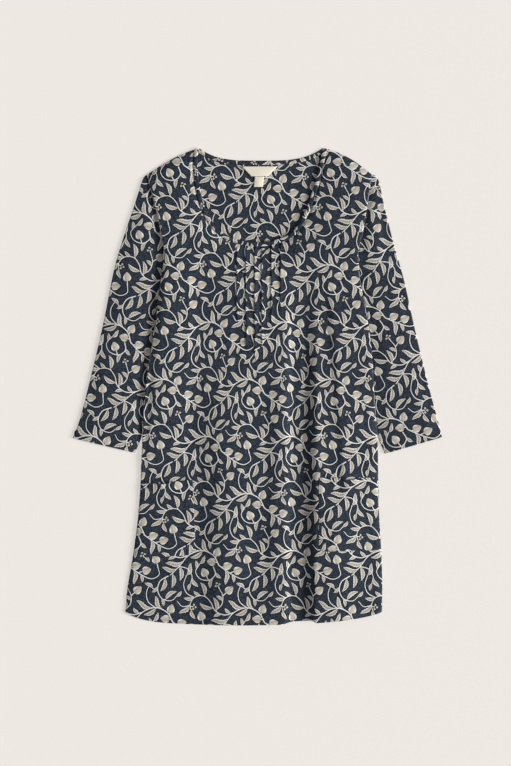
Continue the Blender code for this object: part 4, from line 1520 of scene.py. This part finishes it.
# ------------------------------------------------------------------------ the back panel
@dataclass
class BackPanel:
    """The back: it lies flat, and its inside shows in the neck opening."""

    cutter: Cutter
    print_shift: Spot = (-31.0, 22.0)
    under_binding: float = 3.5
    lies_at: float = 0.5
    seam_lift: float = 1.2
    lift_width: float = 7.0
    ripple: float = 0.25
    ripple_lengths: tuple[float, float, float] = (23.0, 41.0, 31.0)

    def height(self, plan: Array, seams: list[Array]) -> Array:
        """How high the back lies: higher beside a seam and on a ripple.

        Args:
            plan: Points (x, drop).
            seams: The line of each side seam, with its shoulder.

        Returns:
            Its height at each point.
        """
        from_seam = np.min([distance_to(plan, seam) for seam in seams], axis=0)
        lift = self.seam_lift * (1 - smooth_step(from_seam / self.lift_width))
        x, drop = plan.T
        across, sway, down = self.ripple_lengths
        waves = np.sin(x / across + np.sin(drop / sway)) * np.sin(drop / down)
        return self.lies_at + lift + np.maximum(self.ripple * waves, 0.0)

    def build(self, finishes: list) -> bpy.types.Object:
        """Builds and dresses the back."""
        neck = moved_aside(SHAPE.back_neck_curve(3.0), self.under_binding)
        neck = SHAPE.held_below_shoulder(neck)
        parts = SHAPE.sides(neck[0, 0], neck[-1, 0], 4.0)
        seams = [np.vstack([parts[i], parts[i + 1][1:]])[::3] for i in (0, 3)]
        around = np.vstack([p[:-1] for p in parts] + [neck[::-1][:-1]])
        drops = np.arange(*SEAM_RUN, 6.0)
        lines = [
            np.column_stack([SHAPE.side(side, drops) - side * inside, -drops])
            for side in (-1, 1)
            for inside in (2.5, 6.0)
        ]
        cut = self.cutter.cut(around * FLIP, lines, 0.0, self.print_shift)
        plan = cut.points * FLIP
        laid = np.column_stack([plan, self.height(plan, seams)])
        piece = cloth_object("tunic_back", cut, laid, finishes)
        attach(piece, "printed_cotton_inside", "back_panel")
        return piece


# --------------------------------------------------------------------------- the sleeves
SLEEVE_GAP = 0.7  # mm between a sleeve and the body


@dataclass(frozen=True)
class Section:
    """One section of a sleeve, from the armhole to the cuff, in mm."""

    outer_x: float
    outer_drop: float
    inner_drop: float
    clearance: float = SLEEVE_GAP


class Side(Enum):
    """Which side of the garment, as someone who looks down on it sees it."""

    LEFT = -1
    RIGHT = 1


ROLL_LINES = (0.35, 1.1, 2.2, 3.4)  # extra edges beside a sleeve's rolled edges, in mm
CUFF_LINES = (-1.4, -0.8, -0.3, 0.2, 0.7, 1.2)  # and across the turn of its cuff
SECTIONS = {
    Side.LEFT: (
        Section(-188.6, 45.4, 173.0),
        Section(-195.6, 55.0, 182.0),
        Section(-208.4, 95.0, 205.0),
        Section(-228.0, 153.0, 245.0),
        Section(-244.0, 208.0, 290.0),
        Section(-262.0, 298.0, 345.0),
        Section(-284.0, 392.0, 425.0),
        Section(-301.0, 458.0, 480.0),
        Section(-313.5, 493.5, 518.5, 11.4),
    ),
    Side.RIGHT: (
        Section(195.6, 45.4, 173.0),
        Section(204.4, 52.0, 182.0),
        Section(216.6, 104.0, 205.0),
        Section(233.6, 171.0, 245.0),
        Section(249.0, 225.0, 290.0),
        Section(267.0, 306.0, 350.0),
        Section(288.0, 394.0, 425.0),
        Section(303.5, 452.0, 482.0),
        Section(313.5, 491.5, 520.0, 12.4),
    ),
}


@dataclass
class Sleeve:
    """A set-in sleeve pressed flat: top and under layers, rolled at both edges."""

    cutter: Cutter
    side: Side
    creases: tuple[Crease, ...]
    print_shift: Spot
    radius: float = 1.5
    dome: float = 1.8
    dome_width: float = 26.0
    valley: float = 1.2
    valley_width: float = 20.0
    valley_floor: float = 8.0
    crease_fade: float = 10.0
    least_gap: float = 0.25
    cuff: TurnedEdge = TurnedEdge(15.0)

    def edges(self) -> tuple[Array, Array, Array]:
        """The folded outer edge, the underarm edge and the armhole, as (x, drop)."""
        rows = SECTIONS[self.side]
        s = self.side.value
        at = np.linspace(0, len(rows) - 1, 160)
        keys = list(range(len(rows)))

        def read(name: str) -> Array:
            """One column of the sections, read along the sleeve."""
            return through(keys, [getattr(r, name) for r in rows], at)

        outer = np.column_stack([read("outer_x"), read("outer_drop")])
        inner_drop = read("inner_drop")
        inner_x = SHAPE.side(s, inner_drop) + s * read("clearance")
        inner = np.column_stack([inner_x, inner_drop])
        drops = np.linspace(rows[0].inner_drop, rows[0].outer_drop, 50)
        armhole = np.column_stack([SHAPE.side(s, drops) + s * SLEEVE_GAP, drops])
        return outer, inner, armhole

    def build(self, finishes: list) -> bpy.types.Object:
        """Builds and dresses the sleeve."""
        outer, inner, armhole = self.edges()
        end_out = outer[-1]
        end_in = inner[-1]
        along = (end_in - end_out) / np.linalg.norm(end_in - end_out)
        past = np.array([-along[1], along[0]])
        if past[1] < 0:
            past = -past
        cuff = np.linspace(end_out, end_in, 40)
        turned_in = cuff + past * self.cuff.allowance
        parts = (outer, np.vstack([end_out, turned_in, end_in]), inner[::-1], armhole)
        outline = np.vstack([respaced(part, 3.5)[:-1] for part in parts]) * FLIP
        if self.side is Side.RIGHT:
            outline = outline[::-1]
        lines = self.lines(outer, inner, cuff, past)
        axis = (outer[-1] + inner[-1]) / 2 - (outer[0] + inner[0]) / 2
        grain = math.atan2(axis[0], axis[1])
        cut = self.cutter.cut(outline, lines, grain, self.print_shift)
        return self.assemble(cut, (outer, inner, armhole), end_out, past, finishes)

    def lines(self, outer: Array, inner: Array, cuff: Array, past: Array) -> list[Array]:
        """Lines beside the rolled edges and across the cuff's turn."""
        found = []
        for inside in ROLL_LINES:
            for edge, inward in ((outer, self.side.value), (inner, -self.side.value)):
                beside = moved_aside(respaced(edge, 4.0), inward * inside)[2:-3]
                found.append(beside * FLIP)
        for ahead in CUFF_LINES:
            found.append((cuff[2:-2] + past * ahead) * FLIP)
        return found

    def assemble(
        self,
        cut: CutCloth,
        edges: tuple[Array, Array, Array],
        cuff_at: Array,
        past: Array,
        finishes: list,
    ) -> bpy.types.Object:
        """Lays the cut cloth as the sleeve's top and its underside, and joins them.

        Args:
            cut: The flat cloth of one layer.
            edges: The folded outer edge, the underarm edge and the armhole.
            cuff_at: A point of the cuff's edge.
            past: The direction out of the cuff.
            finishes: The materials.

        Returns:
            The sleeve.
        """
        outer, inner, armhole = edges
        plan = cut.points * FLIP
        out = (plan - cuff_at) @ past + self.cuff.radius
        moved, below = self.cuff.turn(out)
        plan = plan + np.outer(moved - out, past)
        rolled = np.minimum(distance_to(plan, outer[::3]), distance_to(plan, inner[::3]))
        sunk = np.clip(1 - rolled / self.radius, 0.0, 1.0)
        round_it = np.sqrt(1 - sunk**2)
        beside = distance_to(plan, np.vstack([armhole, inner])[::4])
        crown = self.dome * smooth_step(rolled / self.dome_width)
        crown *= smooth_step(beside / self.valley_width)
        lifts = total_rise(self.creases, plan) * smooth_step(rolled / self.crease_fade)
        lifts = lifts - self.valley * (1 - smooth_step(beside / self.valley_floor))
        top = self.radius * (1 + round_it) + crown + lifts * round_it
        under = np.maximum(self.radius * (1 - round_it), self.least_gap)
        shrink = np.minimum(below, (top - under) * 0.3)
        top -= shrink
        under += shrink
        count = len(plan)
        on_edge = np.zeros(count, bool)
        on_edge[cut.edge] = True
        shared = on_edge & (rolled < 0.02) & (out < 0.2)  # both layers have these points
        partner = np.arange(count) + count
        partner[shared] = np.nonzero(shared)[0]
        laid = np.vstack([np.column_stack([plan, top]), np.column_stack([plan, under])])
        flipped = partner[cut.triangles][:, ::-1]
        both = CutCloth(
            np.vstack([cut.points, cut.points]),
            np.vstack([cut.triangles, flipped]),
            np.concatenate([cut.materials, cut.materials]),
            np.concatenate([cut.places, cut.places[:, ::-1]]),
            cut.edge,
        )
        name = f"sleeve_{self.side.name.lower()}"
        piece = cloth_object(f"{name}_cloth", both, laid, finishes)
        attach(piece, "printed_cotton", name)
        return piece


# --------------------------------------------------------------------------- the pockets
@dataclass(frozen=True)
class PocketPlace:
    """Where a patch pocket is sewn on the front, in mm.

    The levels of its mouth and foot are given at the inner edge and at the side seam, its
    inner edge at the mouth and at the foot. The corner is cut off across and up.
    """

    inner: Spot
    mouth: Spot
    foot: Spot
    corner: Spot
    gape_x: float
    gape: float
    print_shift: Spot


POCKETS = {
    Side.LEFT: PocketPlace(
        (-110.0, -106.0), (564.0, 571.0), (692.0, 697.0), (8.0, 26.0), -162.0, 2.4, (40.0, 21.0)
    ),
    Side.RIGHT: PocketPlace(
        (103.5, 103.5), (560.0, 560.0), (685.0, 683.0), (6.0, 8.0), 159.0, 2.8, (66.0, -8.0)
    ),
}


# where a pocket's flat cloth gets extra edges, so that it can bend there, in mm
SEWN_LINES = (0.5, 1.0, 1.5, 1.9, 2.3, 2.7, 3.3)  # from the sewn edges
POCKET_SEAM_LINES = (0.7, 2.5, 5.0, 8.5)  # from the side seam
MOUTH_LINES = (-0.9, -0.6, -0.3, 0.0, 0.3, 0.8, 1.6)  # below the mouth


@dataclass
class PatchPocket:
    """A patch pocket: its mouth is hemmed, its foot and inner edge lie down onto the front
    and are edge-stitched, and its outer edge is caught in the side seam. All sizes in mm."""

    cutter: Cutter
    side: Side
    proud: float = 0.75
    edge_width: float = 1.5
    seam_held: float = 0.6
    seam_width: float = 2.0
    hem_edge_in: float = 1.0
    hem_edge_width: float = 1.5
    hem_layers: float = 1.4
    stitch_in: float = 2.3
    stitch_width: float = 0.45
    hem_stitch_in: float = 1.5
    hem_stitch_width: float = 0.5
    stitch_depth: float = 0.35
    clearance: float = 0.15
    gape_width: float = 13.0
    gape_sag: float = 1.3
    gape_length: float = 26.0
    seam_gap: float = 0.5
    mouth_hem: TurnedEdge = TurnedEdge(14.0, 0.3)

    @property
    def place(self) -> PocketPlace:
        """Where the pocket is sewn."""
        return POCKETS[self.side]

    def seam_x(self, drop: Array) -> Array:
        """Where the pocket's outer edge runs, just inside the side seam."""
        s = self.side.value
        return SHAPE.side(s, np.asarray(drop, float)) - s * self.seam_gap

    def mouth(self, x: Array) -> Array:
        """Drop of the mouth's edge at each x."""
        inner = (self.place.inner[0], self.place.mouth[0])
        outer = (float(self.seam_x(self.place.mouth[1])), self.place.mouth[1])
        places, drops = zip(*sorted([inner, outer]))
        return np.interp(x, places, drops)

    def sewn_edge(self) -> Array:
        """The inner edge, the cut corner and the foot, as (x, drop)."""
        place = self.place
        return np.array(
            [
                (place.inner[0], place.mouth[0]),
                (place.inner[1], place.foot[0] - place.corner[1]),
                (place.inner[1] + self.side.value * place.corner[0], place.foot[0]),
                (float(self.seam_x(place.foot[1])), place.foot[1]),
            ]
        )

    def seam_edge(self) -> Array:
        """The outer edge, from the foot to the mouth, as (x, drop)."""
        drops = np.linspace(self.place.foot[1], self.place.mouth[1], 40)
        return np.column_stack([self.seam_x(drops), drops])

    def outline(self) -> Array:
        """The pocket's outline with its mouth's hem allowance, as (x, drop)."""
        up = np.array([0.0, -self.mouth_hem.allowance])
        sewn = self.sewn_edge()
        seam = self.seam_edge()
        mouth = np.vstack([seam[-1], seam[-1] + up, sewn[0] + up, sewn[0]])
        return np.vstack([respaced(part, 3.0)[:-1] for part in (sewn, seam, mouth)])

    def lines(self) -> list[Array]:
        """Lines beside the sewn edges, down the side roll and across the mouth's turn."""
        s = self.side.value
        sewn = respaced(self.sewn_edge(), 3.0)
        seam = self.seam_edge()
        found = [moved_aside(sewn, -s * inside)[1:-1] for inside in SEWN_LINES]
        found += [(seam - (s * inside, 0.0))[1:-1] for inside in POCKET_SEAM_LINES]
        x = np.linspace(self.place.inner[0], float(self.seam_x(self.place.mouth[1])), 40)[1:-1]
        for past in (*MOUTH_LINES, self.mouth_hem.allowance):
            found.append(np.column_stack([x, self.mouth(x) + past]))
        return found

    def lay(self, rows: ClothRows, flat: Array) -> Array:
        """Lays the flat pocket on the front, its mouth turned in and a little open."""
        start = self.mouth(rows.lay(flat)[:, 0]) + self.mouth_hem.radius
        moved, below = self.mouth_hem.turn(start + flat[:, 1])
        laid = rows.lay(np.column_stack([flat[:, 0], moved - start]))
        plan = laid[:, :2].copy()
        sewn = distance_to(plan, self.sewn_edge())
        seam = distance_to(plan, self.seam_edge())
        held = smooth_step(sewn / self.edge_width)
        held = held * smooth_step((seam + self.seam_held) / self.seam_width)
        under_mouth = plan[:, 1] - self.mouth(plan[:, 0])
        past_hem = under_mouth - self.mouth_hem.allowance + self.hem_edge_in
        hem = 1 - smooth_step(past_hem / self.hem_edge_width)
        thick = self.proud + hem * self.mouth_hem.radius * self.hem_layers
        stitches = swell(sewn - self.stitch_in, self.stitch_width)
        from_fold = under_mouth - self.mouth_hem.allowance + self.hem_stitch_in
        stitches += swell(from_fold, self.hem_stitch_width)
        open_at = swell(plan[:, 0] - self.place.gape_x, self.gape_width)
        open_at *= (1 - smooth_step(under_mouth / self.gape_length)) * held
        laid[:, 1] = start - moved + self.gape_sag * self.place.gape * open_at
        laid[:, 2] += self.clearance + (thick - below) * held + self.place.gape * open_at
        laid[:, 2] -= self.stitch_depth * np.minimum(stitches, 1.0) * held
        return laid

    def build(self, rows: ClothRows, finishes: list) -> bpy.types.Object:
        """Builds and dresses the pocket on the front's rows."""
        outline = rows.flatten(self.outline())
        if self.side is Side.LEFT:
            outline = outline[::-1]
        lines = [rows.flatten(line) for line in self.lines()]
        cut = self.cutter.cut(outline, lines, 0.0, self.place.print_shift)
        name = f"pocket_{self.side.name.lower()}"
        piece = cloth_object(f"{name}_cloth", cut, self.lay(rows, cut.points), finishes)
        attach(piece, "printed_cotton", name)
        return piece


# ------------------------------------------------------------------------- neck trimming
# the binding's section, from its hidden edge round to the stitched one: mm across and up
BINDING_SECTION = (
    (2.6, -1.7),
    (0.9, -1.6),
    (-0.1, -1.2),
    (-0.35, -0.4),
    (-0.1, 0.3),
    (0.9, 0.7),
    (2.2, 0.9),
    (4.0, 0.95),
    (5.2, 0.85),
    (6.1, 0.6),
    (6.7, 0.3),
    (7.0, -0.3),
)


@dataclass
class NeckBinding:
    """A bias strip folded over the neck's edge and stitched down, in mm."""

    cutter: Cutter
    name: str
    node: str
    slot: str
    curve: Array
    height: Callable[[Array], Array]
    rests_on: str
    width: float = 6.8
    proud: float = 0.8
    lowest: float = 0.3
    spacing: float = 3.0
    bias: float = math.radians(45.0)

    def build(self, finishes: list) -> bpy.types.Object:
        """Builds and dresses the strip."""
        run = lengths(self.curve)
        across, rise = np.array(BINDING_SECTION).T
        aside = [moved_aside(self.curve, a * self.width / across[-1]) for a in across]
        rings = np.stack(aside, axis=1)
        held = SHAPE.held_below_shoulder(rings.reshape(-1, 2)).reshape(rings.shape)
        base = self.height(self.curve)[:, None]
        z = np.maximum(base + rise[None] * self.proud, self.lowest)
        points = np.concatenate([held, z[..., None]], axis=2)
        wide = lengths(np.array(BINDING_SECTION))
        around = [
            np.column_stack([wide, np.zeros(len(wide))]),
            np.column_stack([np.full(len(run), wide[-1]), run]),
            np.column_stack([wide[::-1], np.full(len(wide), run[-1])]),
            np.column_stack([np.zeros(len(run)), run[::-1]]),
        ]
        outline = np.vstack([p[:-1] for p in around])
        lines = [np.column_stack([np.full(len(run), w), run]) for w in wide[1:-1]]
        cutter = Cutter(self.cutter.vine, self.spacing)
        cut = cutter.cut(outline, lines, self.bias, (0.0, 0.0))
        laid = self.lay(cut.points, run, wide, points)
        cut.triangles = cut.triangles[:, ::-1]
        cut.places = cut.places[:, ::-1]
        piece = cloth_object(self.name, cut, laid, finishes)
        attach(piece, self.slot, self.node)
        return piece

    def lay(self, flat: Array, run: Array, wide: Array, points: Array) -> Array:
        """Lays the flat strip along the neck.

        Args:
            flat: Points (across, along) of the flat strip.
            run: How far along the strip each section is.
            wide: How far across it each corner of a section is.
            points: Where those corners lie, by section and corner.

        Returns:
            Where the points lie.
        """
        row = np.clip(np.searchsorted(run, flat[:, 1], side="right") - 1, 0, len(run) - 2)
        share = ((flat[:, 1] - run[row]) / (run[row + 1] - run[row]))[:, None]
        place = np.clip(np.searchsorted(wide, flat[:, 0], side="right") - 1, 0, len(wide) - 2)
        part = ((flat[:, 0] - wide[place]) / (wide[place + 1] - wide[place]))[:, None]
        above = points[row, place] * (1 - part) + points[row, place + 1] * part
        below = points[row + 1, place] * (1 - part) + points[row + 1, place + 1] * part
        return above * (1 - share) + below * share


@dataclass
class WovenLabel:
    """A bare woven label with a folded edge all round, in mm. Its foot may lean aside."""

    name: str
    x: float
    top_drop: float
    bottom_drop: float
    top_width: float
    bottom_width: float
    lean: float = 0.0
    lies_at: float = 1.5
    thickness: float = 0.8
    fold_share: float = 0.55

    def build(self, finish: bpy.types.Material) -> bpy.types.Object:
        """Builds and dresses the label."""
        across = 24
        down = 12
        vertices = []
        faces = []
        for layer in (1, 0):
            for j in range(down + 1):
                v = j / down
                half = (self.top_width * (1 - v) + self.bottom_width * v) / 2
                drop = self.top_drop + (self.bottom_drop - self.top_drop) * v
                for i in range(across + 1):
                    u = 2 * i / across - 1
                    rim = max(abs(u), abs(2 * v - 1))
                    thick = self.thickness * (1.0 if rim < 0.99 else self.fold_share) * layer
                    bow = 0.5 * math.cos(u * 2.2) * math.sin(v * 2.6) + 0.25
                    z = self.lies_at + thick + max(bow, 0.0) * 0.8
                    x = self.x + self.lean * v + u * half
                    vertices.append((x * MM, (NECK_Y - drop) * MM, z * MM))
        size = (across + 1) * (down + 1)
        for layer in (0, 1):
            for j in range(down):
                for i in range(across):
                    a = layer * size + j * (across + 1) + i
                    face = (a, a + across + 1, a + across + 2, a + 1)
                    faces.append(face if layer == 0 else face[::-1])
        rim = list(range(across + 1))
        rim += [j * (across + 1) + across for j in range(1, down + 1)]
        rim += [down * (across + 1) + i for i in range(across - 1, -1, -1)]
        rim += [j * (across + 1) for j in range(down - 1, 0, -1)]
        for a, b in zip(rim, rim[1:] + rim[:1]):
            faces.append((a, b, b + size, a + size))
        mesh = bpy.data.meshes.new(self.name)
        mesh.from_pydata(vertices, [], faces)
        mesh.materials.append(finish)
        mesh.shade_smooth()
        piece = placed(self.name, mesh)
        attach(piece, "label_tape", self.name.removesuffix("_tape"))
        return piece


# -------------------------------------------------------------------------------- studio
@dataclass
class Studio:
    """A pale floor, a low soft key from the right, and a camera straight above."""

    frame_height: float = 1.302
    middle: Spot = (-0.0034, 0.0060)
    camera_distance: float = 4.0
    sun_elevation: float = 20.0
    sun_azimuth: float = -8.0
    sun_strength: float = 5.9
    sun_width: float = 25.0
    sky_strength: float = 0.36
    floor_reach: float = 6.0

    def floor(self) -> None:
        """Lays the floor."""
        far = self.floor_reach
        corners = [(-far, -far, 0), (far, -far, 0), (far, far, 0), (-far, far, 0)]
        mesh = bpy.data.meshes.new("floor")
        mesh.from_pydata(corners, [], [(0, 1, 2, 3)])
        # the floor glows with painted light, which keeps the garment's shadows on it pale
        mesh.materials.append(OpalFloorWithPaintedGlow().make())
        floor = placed("floor", mesh)

    def light(self) -> None:
        """Sets the key and the soft light all round."""
        key = bpy.data.lights.new("key", "SUN")
        key.energy = self.sun_strength
        key.angle = math.radians(self.sun_width)
        key.color = (1.0, 0.99, 0.975)
        up = math.radians(self.sun_elevation)
        level = math.cos(up)
        round_it = math.radians(self.sun_azimuth)
        towards = (level * math.cos(round_it), level * math.sin(round_it), math.sin(up))
        lamp = placed("key", key)
        lamp.rotation_euler = Vector(towards).to_track_quat("Z", "Y").to_euler()
        world = bpy.data.worlds.new("studio")
        world.use_nodes = True
        sky = world.node_tree.nodes["Background"]
        sky.inputs["Color"].default_value = (0.97, 0.98, 1.0, 1.0)
        sky.inputs["Strength"].default_value = self.sky_strength
        bpy.context.scene.world = world

    def camera(self) -> None:
        """Hangs the camera."""
        data = bpy.data.cameras.new("camera")
        data.sensor_fit = "VERTICAL"
        data.sensor_height = 24.0
        data.lens = data.sensor_height * self.camera_distance / self.frame_height
        data.clip_end = 50.0
        camera = placed("camera", data)
        camera.location = (*self.middle, self.camera_distance)
        bpy.context.scene.camera = camera
        bpy.context.scene.view_settings.view_transform = "Standard"

    def build(self) -> None:
        """Sets up the studio."""
        self.floor()
        self.light()
        self.camera()
        LOG.info("studio: floor, light and camera")


def main() -> None:
    """Builds the tunic, piece by piece, and the studio round it."""
    logging.basicConfig(level=logging.INFO, format="%(name)s: %(message)s")
    Studio().build()
    vine = VinePrint().grow()
    LOG.info("print: %d motifs in a repeat", len(vine.motifs))
    cutter = Cutter(vine)
    cotton = [NavyCotton().make(), CreamPrint().make(), KeylineInk().make()]
    tape = LabelTape().make()
    BackPanel(cutter).build(cotton)
    front = FrontPanel(cutter)
    rows = front.rows()
    front.build(rows, cotton)
    for side in Side:
        PatchPocket(cutter, side).build(rows, cotton)
    Sleeve(cutter, Side.LEFT, (), (20.0, 15.0)).build(cotton)
    streaks = (
        Crease((190.0, 78.0), (176.0, 172.0), -1.3, 8.0),
        Crease((209.0, 66.0), (219.0, 188.0), -1.2, 8.5),
    )
    right = Sleeve(cutter, Side.RIGHT, streaks, (-14.0, 60.0), valley=0.0, valley_width=9.0)
    right.build(cotton)
    front_curve = SHAPE.front_neck_curve(3.0)
    NeckBinding(
        cutter,
        "front_neck_strip",
        "neck_binding_front",
        "printed_cotton",
        front_curve,
        lambda c: SHAPE.front_height(c[:, 0], np.maximum(c[:, 1], 2.0)),
        "front_panel",
    ).build(cotton)
    NeckBinding(
        cutter,
        "back_neck_strip",
        "neck_binding_back",
        "printed_cotton_inside",
        SHAPE.back_neck_curve(3.0),
        lambda c: np.full(len(c), 1.5),
        "back_panel",
    ).build(cotton)
    WovenLabel("neck_label_tape", 3.4, 31.5, 48.2, 61.0, 28.5).build(tape)
    WovenLabel("size_tab_tape", 3.3, 48.5, 66.3, 15.4, 15.4, -2.0).build(tape)


if __name__ == "__main__":
    main()
